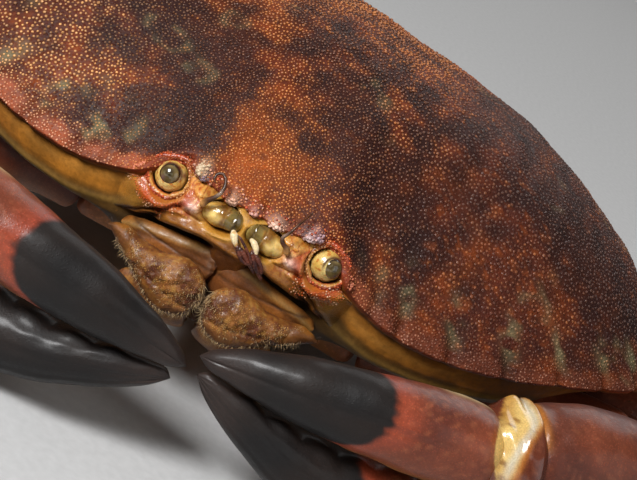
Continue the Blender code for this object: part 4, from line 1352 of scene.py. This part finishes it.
claws = {
    "poses": {
        1: {"wrist": (105.8, 9.5, 32.4), "turn": 23.1, "dip": 9.6, "lean": -9.8},
        -1: {"wrist": (101.3, -9.6, 30.0), "turn": 15.6, "dip": 8.7, "lean": -11.2},
    },
    "tone": {1: 0.72, -1: 1.2},  # of the palm: the left claw's painted darker as painted shade, the right claw's lighter as painted light
    # along, sideways, up, half thickness, half height
    "palm": [(0.0, 0, 0.0, 0, 0), (0.6, 0, 0.0, 6.0, 7.0), (3.0, 0, -0.2, 8.8, 12.4)]
    + [(8.0, 0, -0.5, 10.8, 16.6), (16.0, 0, -1.2, 12.2, 20.4), (30.0, 0, -2.2, 12.9, 23.0)]
    + [(38.6, 0, -3.0, 12.6, 22.8)]
    + [(41.6, 0, -3.6, 12.2, 21.8), (42.4, 0, -5.2, 11.9, 19.8), (43.4, 0, -10.4, 11.4, 14.8)]
    + [(46.5, 0, -13.6, 10.8, 12.2), (57.0, 0.6, -14.0, 9.4, 10.8), (72.0, 2.2, -10.6, 7.9, 8.9)]
    + [(87.0, 5.1, -5.0, 6.0, 6.6), (97.0, 8.4, 0.2, 4.0, 4.2), (102.5, 10.6, 3.4, 2.0, 2.2)]
    + [(104.5, 11.5, 4.5, 0, 0)],
    "finger": [(46.8, 0.0, 8.2, 0, 0), (47.0, 0.0, 8.2, 5.8, 5.8), (48.2, 0.0, 8.3, 7.8, 7.6)]
    + [(50.6, 0.1, 8.4, 8.8, 8.6), (54.0, 0.3, 8.7, 9.0, 8.9), (63.0, 1.0, 9.5, 8.4, 8.7)]
    + [(75.0, 2.6, 10.3, 7.3, 7.8), (87.0, 5.1, 10.7, 5.9, 6.3), (97.0, 8.2, 10.2, 3.9, 4.2)]
    + [(103.5, 10.9, 9.2, 1.8, 2.0), (105.5, 11.8, 8.9, 0, 0)],
    "hinge": [(38.0, 0, 7.0, 0, 0), (38.6, 0, 7.4, 9.0, 9.6), (41.4, 0, 7.8, 11.9, 11.0)]
    + [(44.0, 0, 8.0, 11.4, 10.4), (46.6, 0, 8.2, 9.6, 9.1), (50.0, 0, 8.4, 8.0, 7.9)]
    + [(51.0, 0, 8.4, 6.0, 6.0), (51.2, 0, 8.4, 0, 0)],
    # degrees round the joint, where along the claw its soft skin begins and ends
    "skinFrom": [(-80, 48), (-40, 47.5), (-10, 47), (12, 46), (36, 45.5), (56, 44.5), (72, 42.5), (84, 41)]
    + [(260, 41)],
    "skinTo": [(-80, 46), (-40, 46.5), (-10, 47.5), (4, 48.5), (28, 50.5), (48, 51), (72, 50), (96, 48.5)]
    + [(136, 45), (260, 45)],
    # half length, half thickness, half height; shares of them from end to end
    "wristSize": (18.5, 13.0, 14.5),
    "wristShift": (4.5, -1.0, 0.0),
    "wristProfile": [(0.0, 0, 0), (0.04, 0.44, 0.44), (0.18, 0.82, 0.82), (0.45, 1.0, 1.0)]
    + [(0.72, 0.94, 0.94), (0.92, 0.56, 0.56), (1.0, 0, 0)],
    "armEnd": (97.8, 36.0, 29.0),
    "armFollows": 0.8,  # how much of the other wrist's shift the arm's end takes
    "armSize": (8.4, 9.0),
    "armProfile": [(0.0, 0, 0), (0.01, 0.55, 0.6), (0.16, 0.62, 0.66), (0.24, 0.85, 0.8)]
    + [(0.60, 1.0, 1.0), (0.93, 0.9, 0.9), (0.99, 0.6, 0.62), (1.0, 0, 0)],
}
legBases = [(36.0, 44.0, 15.5), (37.0, 59.0, 14.0), (36.0, 73.5, 14.0), (33.0, 87.5, 14.0), (27.0, 100.0, 14.5)]
legTurns = [14.0, 9.0, -5.0, -20.0, -42.0]  # degrees forward of straight out, the claw's first
skinFrom, skinTo = [rowCurve(claws[key], 8.0) for key in ("skinFrom", "skinTo")]


def skinEdges(angle):
    degrees = np.degrees((angle + math.pi / 2) % (2 * math.pi)) - 90
    return skinFrom(degrees), skinTo(degrees)


def fromKnob(along, angle):
    # distance over the skin from the knob of the finger's joint
    return np.hypot(along - 45.6, 9 * (angle - 2.1))


def hornColours(points, seed):
    # the reddish brown of claws and legs, clouded with violet and dotted finely
    fine, broad = waves(points, 1.1, seed), waves(points, 9, seed + 1)
    return layers(
        blend("84432c", "66301f", 0.5 + 0.5 * broad),
        ("4f2a2a", 0.45 * step(waves(points, 14, seed + 2), 0.1, 1.2)),
        ("9c5a3c", 0.35 * step(fine, 0.4, 1.2)),
    )


def darkFinger(along, base, points, edge):
    # the finger's black from that edge on, with a redder rim before it
    beyond = along - edge - 0.3 * waves(points, 6, 120)
    ink = blend("1a110d", "0c0808", 0.5 + 0.5 * waves(points, 6, 121))
    ink = blend(ink, "3d2f2a", 0.5 * step(along, 92, 104))
    inked = step(beyond + 0.25 * waves(points, 1.2, 119), -0.9, 1.0)
    return layers(base, ("a8452c", 0.5 * step(beyond, -7, -0.5)), (ink, inked))


def cuttingTeeth(along, angle, way):
    # blunt teeth on the palm's upper side or the finger's lower one
    bumps = 0.5 + 0.5 * way * np.cos((along - 54) * 2 * math.pi / 8.2)
    away = np.angle(np.exp(1j * (angle - way * math.pi / 2)))
    return 0.9 * bumps**0.7 * hill(away, 0.36) * (step(along, 50, 54) * (1 - step(along, 92, 98)))


def palmShape(along, angle):
    spots = rolled(along, angle, 8)
    rim = step(np.sin(angle), 0.86, 0.96)
    lift = 0.25 * waves(spots, 11, 122) + 0.05 * waves(spots, 2.2, 123)
    lift += (0.55 * hill(along - 40.4, 1.1) - 0.35 * hill(along - 37.8, 1.3)) * rim
    lift += cuttingTeeth(along, angle, 1)
    return lift - 0.3 * hill(np.abs(np.cos(angle)) - 0.97, 0.04) * step(along, 52, 60)


def buildPalm(side, matrix):
    piece, points, local, *_ = addLimb(
        sided("clawPalm", side), 180, 200, claws["palm"], matrix, 0.88, 0.022, palmShape
    )
    along, up = local[:, 0], local[:, 2]
    points[:, 2] = np.maximum(points[:, 2], 0)
    # the palm's brown is scaled per side, as painted light and shade
    base = layers(
        hornColours(points, 124) * claws["tone"][side],
        ("a9763c", 0.7 * step(-up - 6, 0, 16)),
        ("b0702c", 0.85 * hill(along - 41.2, 1.3) * step(up, 15.5, 17)),
    )
    base = darkFinger(along, base, points, 72.0 + 0.62 * np.clip(up - 2, -6, 18))
    finishPiece(piece, points, base, clawSkin, "claw_palm", side)


def fingerShape(along, angle):
    spots = rolled(along, angle, 6)
    lift = 0.15 * waves(spots, 8, 125) + 0.04 * waves(spots, 2.2, 126)
    lift -= 0.35 * hill(np.abs(np.cos(angle)) - 0.93, 0.05) * step(along, 54, 62) * (angle > 0)
    return lift + cuttingTeeth(along, angle, -1)


def buildFinger(side, matrix):
    piece, points, local, _, angle = addLimb(
        sided("clawFinger", side), 150, 180, claws["finger"], matrix, 0.92, 0.03, fingerShape
    )
    along, up = local[:, 0], local[:, 2]
    crest = hill(angle - 2.15, 0.22) * step(along, 46, 48) * (1 - step(along, 56, 62))
    _, skinEnd = skinEdges(angle)
    base = layers(
        hornColours(points, 127),
        ("a9783a", 0.8 * step(6.0 - up, 0, 5)),
        ("9a5a26", 0.7 * hill(along - 47.6, 1.2)),
        ("e6cf9a", 0.85 * crest),
        ("8c4a20", 0.8 * hill(along - skinEnd - 0.5, 0.6)),
        ("d4ac62", step(skinEnd - along, -0.15, 0.25)),
    )
    edge = 70.8 + 0.09 * np.minimum(up - 15, 0) ** 2 + 2.5 * step(angle, 1.2, 2.2)
    finishPiece(piece, points, darkFinger(along, base, points, edge), clawSkin, "claw_finger", side)


def hingeShape(along, angle):
    beyond = along - skinEdges(angle)[0]
    folds = 0.22 * np.cos((along - 44) * 1.9 + 1.1 * np.sin(angle * 3))
    folds += 0.35 * waves(rolled(along, angle, 8), 3.5, 128)
    return step(beyond, 0, 0.8) * folds + 1.5 * hill(fromKnob(along, angle), 1.7) + 0.4 * hill(beyond, 0.7)


def buildHinge(side, matrix):
    piece, points, local, _, angle = addLimb(
        sided("clawHinge", side), 120, 64, claws["hinge"], matrix, 0.92, 0.03, hingeShape
    )
    along, up = local[:, 0], local[:, 2]
    fine, broad = waves(points, 1.3, 129), waves(points, 4, 130)
    skinStart, skinEnd = skinEdges(angle)
    # the hinge's horn edges take the palm's painted light and shade
    horn = hornColours(points, 124) * claws["tone"][side]
    base = layers(
        blend("dcbc74", "b98a40", 0.4 + 0.5 * broad),
        ("7c4c20", 0.7 * step(fine + 0.5 * broad, 0.9, 1.5)),
        ("86642e", 0.7 * step(10 - up + 1.5 * broad, 0, 7)),
        ("6a4420", 0.6 * hill(skinEnd - along - 0.3, 0.7) * step(fine, -0.8, 0.6)),
        # painted highlight along the membrane next to the palm's rim
        ("b9c0bf", 0.6 * hill(along - skinStart - 1.5, 0.7) * step(up, 8, 13)),
        ("b8863a", 0.8 * hill(fromKnob(along, angle), 1.9)),
        (horn, step(skinStart + 0.3 * broad - along, -0.2, 0.4)),
        ("a8642a", 0.9 * hill(along - skinStart, 0.6)),
        (horn, step(along - skinEnd, -0.1, 0.4)),
    )
    finishPiece(piece, points, base, stalkSkin, side=side)


def profiled(profile, length, thick, high):
    return [(row[0] * length, 0, 0, row[1] * thick, row[2] * high) for row in profile]


def armShape(along, angle):
    crest = 0.9 * hill(angle - math.pi / 2, 0.25) * step(along, 14, 26)
    return 0.2 * waves(rolled(along, angle, 6), 6, 131) + crest


def buildArm(side, start, end):
    stations = profiled(claws["armProfile"], (end - start).length, *claws["armSize"])
    piece, points, local, *_ = addLimb(
        sided("clawArm", side), 90, 76, stations, placing(start, end), 0.9, 0.03, armShape
    )
    base = blend(hornColours(points, 132), "c08a55", 0.6 * step(-local[:, 2], 0, 8))
    finishPiece(piece, points, base, clawSkin, "claw_arm", side)


def wristShape(along, angle):
    spots = rolled(along, angle, 10)
    return 0.5 * waves(spots, 9, 133) + 0.07 * waves(spots, 1.8, 134)


def buildWrist(side, centre, way):
    long, thick, high = claws["wristSize"]
    stations = profiled(claws["wristProfile"], 2 * long, thick, high)
    matrix = placing(centre - way * long, centre)
    piece, points, *_ = addLimb(sided("clawWrist", side), 100, 84, stations, matrix, 0.92, 0.03, wristShape)
    points[:, 2] = np.maximum(points[:, 2], 0.3)
    finishPiece(piece, points, hornColours(points, 135), clawSkin, "claw_wrist", side)


def buildClaw(side):
    pose = claws["poses"][side]
    wrist = Vector(pose["wrist"])
    turn, dip, lean = [math.radians(pose[key]) for key in ("turn", "dip", "lean")]
    ahead = Vector((-math.cos(turn) * math.cos(dip), -math.sin(turn) * math.cos(dip), -math.sin(dip)))
    matrix = placing(wrist, wrist + ahead, (0, math.sin(lean), math.cos(lean))) @ Matrix.Diagonal((1, -1, 1, 1))
    buildPalm(side, matrix)
    buildFinger(side, matrix)
    buildHinge(side, matrix)
    armEnd = Vector(claws["armEnd"]) + (wrist - Vector(claws["poses"][1]["wrist"])) * claws["armFollows"]
    buildArm(side, Vector(legBases[0]), armEnd)
    buildWrist(side, (armEnd + wrist) / 2 + Vector(claws["wristShift"]), (armEnd - wrist).normalized())


clawSkin = hornMaterial("clawSkin", 0.36, 2.0, 0.05)
for side in (1, -1):
    buildClaw(side)
print("claws built")


# the walking legs

legs = {
    # name, length, half thickness, half height, degrees above the level, bristles and their lengths, and a
    # profile: share of the length, of the half thickness, of the half height, rise in half heights
    "pieces": [
        ("merus", 73.0, 5.2, 8.0, 15.5, 60, (1.0, 2.2), [(0.0, 0, 0, 0), (0.005, 0.56, 0.5, 0)]
         + [(0.08, 0.74, 0.64, 0), (0.25, 0.90, 0.84, 0.02), (0.62, 1.0, 1.0, 0.05), (0.90, 0.94, 0.94, 0.03)]
         + [(0.985, 0.80, 0.78, 0.0), (1.0, 0, 0, 0)]),
        ("carpus", 28.0, 4.9, 7.0, 13.0, 50, (1.0, 2.2), [(0.0, 0, 0, 0), (0.01, 0.55, 0.5, 0)]
         + [(0.3, 0.86, 0.84, 0.04), (0.6, 1.0, 1.0, 0.06), (0.9, 0.92, 0.88, 0.05), (0.98, 0.80, 0.74, 0.04)]
         + [(1.0, 0, 0, 0.04)]),
        ("propodus", 40.0, 4.5, 6.2, -20.0, 240, (1.2, 3.0), [(0.0, 0, 0, 0), (0.01, 0.55, 0.5, 0)]
         + [(0.24, 1.0, 1.0, 0.02), (0.75, 0.95, 0.92, 0.02), (0.95, 0.84, 0.80, 0.01), (0.99, 0.72, 0.68, 0)]
         + [(1.0, 0, 0, 0)]),
        ("dactyl", 39.0, 3.3, 4.0, None, 420, (1.2, 2.6), [(0.0, 0, 0, 0), (0.01, 0.66, 0.64, 0.0)]
         + [(0.2, 1.0, 1.0, 0.14), (0.55, 0.80, 0.76, 0.36), (0.85, 0.46, 0.44, 0.18), (0.95, 0.26, 0.26, 0.10)]
         + [(1.0, 0, 0, 0)]),
    ],
    "sizes": {1: 0.97, 2: 1.0, 3: 0.95, 4: 0.82},
    "square": 0.9,
    "blur": 0.04,
    "gap": 0.4,
    "nest": 2.0,  # how far a piece reaches back into the one before
    "tipSink": 0.5,
    "bristleRows": [0.25, 0.45, 0.75, 0.9, -0.25, -0.45, -0.8, 1.0, -1.0],  # heights round the leg
    "bristleWidth": 0.09,
    "floorGap": 0.3,  # what bristles keep from the floor
}
bristleRoots = []


def legShape(name, seed):
    def shape(along, angle):
        spots = rolled(along, angle, 4)
        lift = 0.12 * waves(spots, 5, seed) + 0.05 * waves(spots, 1.6, seed + 1)
        if name == "merus":
            return lift + 0.5 * hill(angle - math.pi / 2, 0.3)
        if name == "carpus":
            return lift - 0.4 * hill(np.sin(angle) - 0.55, 0.15)
        return lift - 0.35 * hill(np.abs(np.sin(angle)) - 0.42, 0.12)

    return shape


def rowOfBristles(stations, matrix, side, count, lengths, seed):
    # roots in rows along a leg piece, leaning towards its tip
    draw = np.random.default_rng(seed)
    curves = stationCurves(stations, legs["blur"])
    angle = np.arcsin(draw.choice(legs["bristleRows"], count) * 0.98) + draw.normal(0, 0.10, count)
    angle = np.where(draw.uniform(size=count) < 0.5, angle, math.pi - angle)
    share = 0.10 + 0.84 * draw.uniform(size=count)

    def spot(share, angle):
        return applied(matrix, limbPoints(curves, share, angle, legs["square"]))

    roots = spot(share, angle)
    onward = spot(share + 0.01, angle) - roots
    normal = np.cross(onward, spot(share, angle + 0.02) - roots)
    middle = applied(matrix, columns(*[curve(share) for curve in curves[:3]]))
    normal *= np.sign(np.sum(normal * (roots - middle), axis=1))[:, None]
    normal /= np.linalg.norm(normal, axis=1)[:, None] + 1e-9
    onward /= np.linalg.norm(onward, axis=1)[:, None] + 1e-9
    lean = normal * 0.75 + onward * draw.uniform(0.5, 1.0, count)[:, None]
    flip = np.array([side, 1, 1])
    place = columns(share * 0.10, (angle % (2 * math.pi)) / (2 * math.pi) * 0.10)
    bristleRoots.append((roots * flip, lean * flip, draw.uniform(*lengths, count), place))


def buildLeg(side, index):
    size = legs["sizes"][index]
    turn = math.radians(legTurns[index])
    out = Vector((math.cos(turn), -math.sin(turn), 0))
    start = Vector(legBases[index]) + out * legs["gap"]
    for number, (name, length, thick, high, slope, count, lengths, profile) in enumerate(legs["pieces"]):
        length *= size
        last = name == "dactyl"
        if last:  # it reaches down to the floor
            slope = -math.degrees(math.asin(min((start.z + legs["tipSink"]) / length, 0.98)))
        rise = math.radians(slope)
        ahead = out * math.cos(rise) + Vector((0, 0, math.sin(rise)))
        end = start + ahead * length
        stations = [
            (p * length, 0, u * high * size, w * thick * size, h * high * size) for p, w, h, u in profile
        ]
        matrix = placing(start, end)
        seed = 140 + index * 8 + number * 2
        node = f"leg{index}_{name}"
        shape = legShape(name, seed)
        piece, points, local, *_ = addLimb(
            sided(node, side) + "_skin", 44, 52, stations, matrix, legs["square"], legs["blur"], shape
        )
        points[:, 2] = np.maximum(points[:, 2], 0)
        share = local[:, 0] / length
        base = layers(
            hornColours(points, seed),
            ("a8704c", 0.5 * step(-local[:, 2] / high, 0.1, 0.9)),
            ("c9854a", 0.7 * hill(share - 0.985, 0.03) * (not last)),
            ("c07a45", 0.5 * hill(share - 0.06, 0.05)),
            ("b98a50", 0.35 * last),
            ("2a1c18", step(share, 0.80, 0.90) * last),
        )
        finishPiece(piece, points, base, legSkin, node, side)
        rowOfBristles(stations, matrix, side, count, lengths, seed + side + 500)
        start = end - ahead * legs["nest"]


def buildBristles():
    roots, leans, lengths, places = [np.concatenate(parts) for parts in zip(*bristleRoots)]
    number = np.repeat(np.arange(len(bristleRoots)), [len(group[0]) for group in bristleRoots])
    places = places + columns(number % 8, number // 8) * 0.12 + 0.02
    low = legs["floorGap"]
    lengths = np.minimum(lengths, np.where(leans[:, 2] < 0, (roots[:, 2] - low) / 1.2, 9))
    roots[:, 2] = np.maximum(roots[:, 2], low)
    keep = lengths > 0.3
    roots, leans, lengths, places = roots[keep], leans[keep], lengths[keep], places[keep]
    shades = blend("a3794a", "5b3d26", 0.5 + 0.5 * waves(roots, 3, 190))
    widths = np.full(len(roots), legs["bristleWidth"])
    scatter("legBristles", cone, hairSkin, "leg", roots, leans, widths, lengths, shades, places)
    print("bristles", len(roots))


legSkin = hornMaterial("legSkin", 0.42, 1.0, 0.12)
for side in (1, -1):
    for index in legs["sizes"]:
        buildLeg(side, index)
buildBristles()
print("legs built")


# the underside

under = {
    # x, y, z, half width, half height
    "thorax": [(0, 38.0, 14.0, 0, 0), (0, 38.6, 14.0, 12, 3.4), (0, 43.0, 14.0, 23, 5.2)]
    + [(0, 62.0, 14.0, 26, 5.8), (0, 88.0, 14.0, 25, 5.8), (0, 104.0, 14.0, 17, 5.2), (0, 110.6, 14.0, 0, 0)],
    "thoraxSeams": (0.30, 0.45, 0.60, 0.75, 0.88),
    # along, sideways, up, half thickness, half height
    "hip": [(0, 0, 0, 0, 0), (0.5, 0, 0, 4.4, 3.6), (9, 0, 0, 5.6, 4.8), (16.6, 0, 0, 5.3, 4.6)]
    + [(18.2, 0, 0, 4.2, 3.8), (18.8, 0, 0, 0, 0)],
    "hipReach": 19.0,
    "hipRise": 0.05,
    "abdomen": [(0, 123.0, 35.6, 0, 0), (0, 124.6, 34.6, 17, 1.5), (0, 127.0, 27.0, 19, 1.8)]
    + [(0, 124.0, 18.0, 18, 1.8), (0, 114.6, 9.4, 16, 1.8), (0, 104.0, 6.0, 13.5, 1.6)]
    + [(0, 84.0, 6.0, 9.5, 1.5), (0, 66.0, 6.2, 6, 1.3)]
    + [(0, 58.0, 6.4, 0, 0)],
    "abdomenSeams": (0.12, 0.24, 0.36, 0.50, 0.64, 0.78),
    "abdomenLow": 3.6,
}


def bellyColours(points, seed):
    fine, broad = waves(points, 1.4, seed), waves(points, 10, seed + 1)
    return layers(blend("d3a877", "b3784a", 0.5 + 0.5 * broad), ("8f5232", 0.5 * step(fine, 0.4, 1.2)))


def seams(share, key, width):
    return sum(hill(share - place, width) for place in under[key])


def thoraxShape(share, angle):
    return -0.8 * seams(share, "thoraxSeams", 0.012) - 0.7 * hill(np.cos(angle), 0.08)


def abdomenShape(share, angle):
    return -0.7 * seams(share, "abdomenSeams", 0.010) + 0.3 * hill(np.cos(angle), 0.3)


def buildUnderside():
    piece, points, *_ = addPath("sternum", 110, 140, under["thorax"], 0.05, thoraxShape)
    finishPiece(piece, points, bellyColours(points, 201), bellySkin, "thorax")
    for side in (1, -1):
        for index, (base, turn) in enumerate(zip(legBases, np.radians(legTurns))):
            out = Vector((math.cos(turn), -math.sin(turn), under["hipRise"])).normalized()
            end = Vector(base)
            matrix = placing(end - out * under["hipReach"], end)
            piece, points, _, share, _ = addLimb(sided(f"hip{index}", side), 32, 26, under["hip"], matrix, 0.85)
            shade = blend(bellyColours(points, 203 + index), "9a5a3a", step(share, 0.5, 0.9))
            finishPiece(piece, points, shade, bellySkin, "thorax", side)
    piece, points, *_ = addPath("tailFlap", 96, 150, under["abdomen"], 0.05, abdomenShape)
    points[:, 2] = np.maximum(points[:, 2], under["abdomenLow"])
    hornLike = step(points[:, 1], 116, 122) * step(points[:, 2], 9, 16)
    shade = blend(bellyColours(points, 215), hornColours(points, 216), 0.9 * hornLike)
    finishPiece(piece, points, shade, bellySkin, "abdomen")


bellySkin = hornMaterial("bellySkin", 0.45, 1.0, 0.1)
buildUnderside()
print("underside built")


# floor, lights and camera

floor = {
    "size": 12.0,  # metres
    "cells": 90,
    "flat": 1.6,  # metres from the middle to where it begins to rise, and how fast it does
    "rise": 0.35,
    "under": 0.0002,
}


def addFloor():
    bpy.ops.mesh.primitive_grid_add(
        x_subdivisions=floor["cells"], y_subdivisions=floor["cells"], size=floor["size"]
    )
    piece = bpy.context.object
    piece.name = "floor"
    points = readPoints(piece)
    beyond = np.maximum(np.hypot(points[:, 0], points[:, 1]) - floor["flat"], 0)
    points[:, 2] = floor["rise"] * beyond**2
    piece.data.vertices.foreach_set("co", points.ravel())
    piece.data.shade_smooth()
    made, tree, shader, place, _ = newMaterial("floorSkin", 0.75)
    feed(shader, "Base Color", ramp(tree, noise(tree, place, 0.5, 3.0), (0.3, 0.50), (0.7, 0.55)))
    piece.data.materials.append(made)
    piece.location.z = -floor["under"]


lights = [  # name, place, aimed at, size, power
    ("key", (-0.45, -0.62, 0.60), (0.0, -0.06, 0.04), 0.28, 12.4),
    ("fill", (0.9, -0.7, 0.5), (0.0, -0.04, 0.04), 0.9, 2.6),
    ("rear", (0.2, 0.9, 0.9), (0.0, 0.0, 0.05), 0.8, 4.0),
]
sky = ((1.0, 0.97, 0.93, 1), 0.22)  # colour, strength


def addLights():
    for name, place, target, size, power in lights:
        bpy.ops.object.light_add(type="AREA", location=place)
        lamp = bpy.context.object
        lamp.name = name
        lamp.data.size = size
        lamp.data.energy = power
        lamp.rotation_euler = (Vector(target) - Vector(place)).to_track_quat("-Z", "Y").to_euler()
    world = bpy.data.worlds.new("world")
    bpy.context.scene.world = world
    world.use_nodes = True
    inputs = world.node_tree.nodes["Background"].inputs
    inputs["Color"].default_value, inputs["Strength"].default_value = sky


view = {
    "eyes": (0.0, 3.0, 44.0),  # the point between the eyes
    "distance": 330.0,
    "elevation": 20.0,
    "roll": 30.0,
    "aside": 13.7,  # how far to the crab's left of the eyes, and above them, the camera aims
    "above": 3.5,
    "imageWidth": 637,
    "pixelsPerMillimetre": 5.09,
    "clip": 0.01,
}


def addCamera():
    rise, roll = math.radians(view["elevation"]), math.radians(view["roll"])
    eyes = Vector(view["eyes"]) + Vector((0, back, 0))
    across, up = Vector((1, 0, 0)), Vector((0, math.sin(rise), math.cos(rise)))
    place = eyes + Vector((0, -math.cos(rise), math.sin(rise))) * view["distance"]
    target = eyes + across * view["aside"] + up * view["above"]
    ahead = (target - place).normalized()
    right = across * math.cos(roll) + up * math.sin(roll)
    right = (right - ahead * right.dot(ahead)).normalized()
    turn = Matrix((right, right.cross(ahead), -ahead)).transposed().to_4x4()
    bpy.ops.object.camera_add()
    camera = bpy.context.object
    camera.matrix_world = Matrix.Translation(place * mm) @ turn
    halfWidth = view["imageWidth"] / view["pixelsPerMillimetre"] / 2
    camera.data.angle = 2 * math.atan(halfWidth / view["distance"])
    camera.data.clip_start = view["clip"]
    bpy.context.scene.camera = camera


addFloor()
addLights()
addCamera()
bpy.context.scene.view_settings.view_transform = "Standard"
print("floor, lights and camera set")
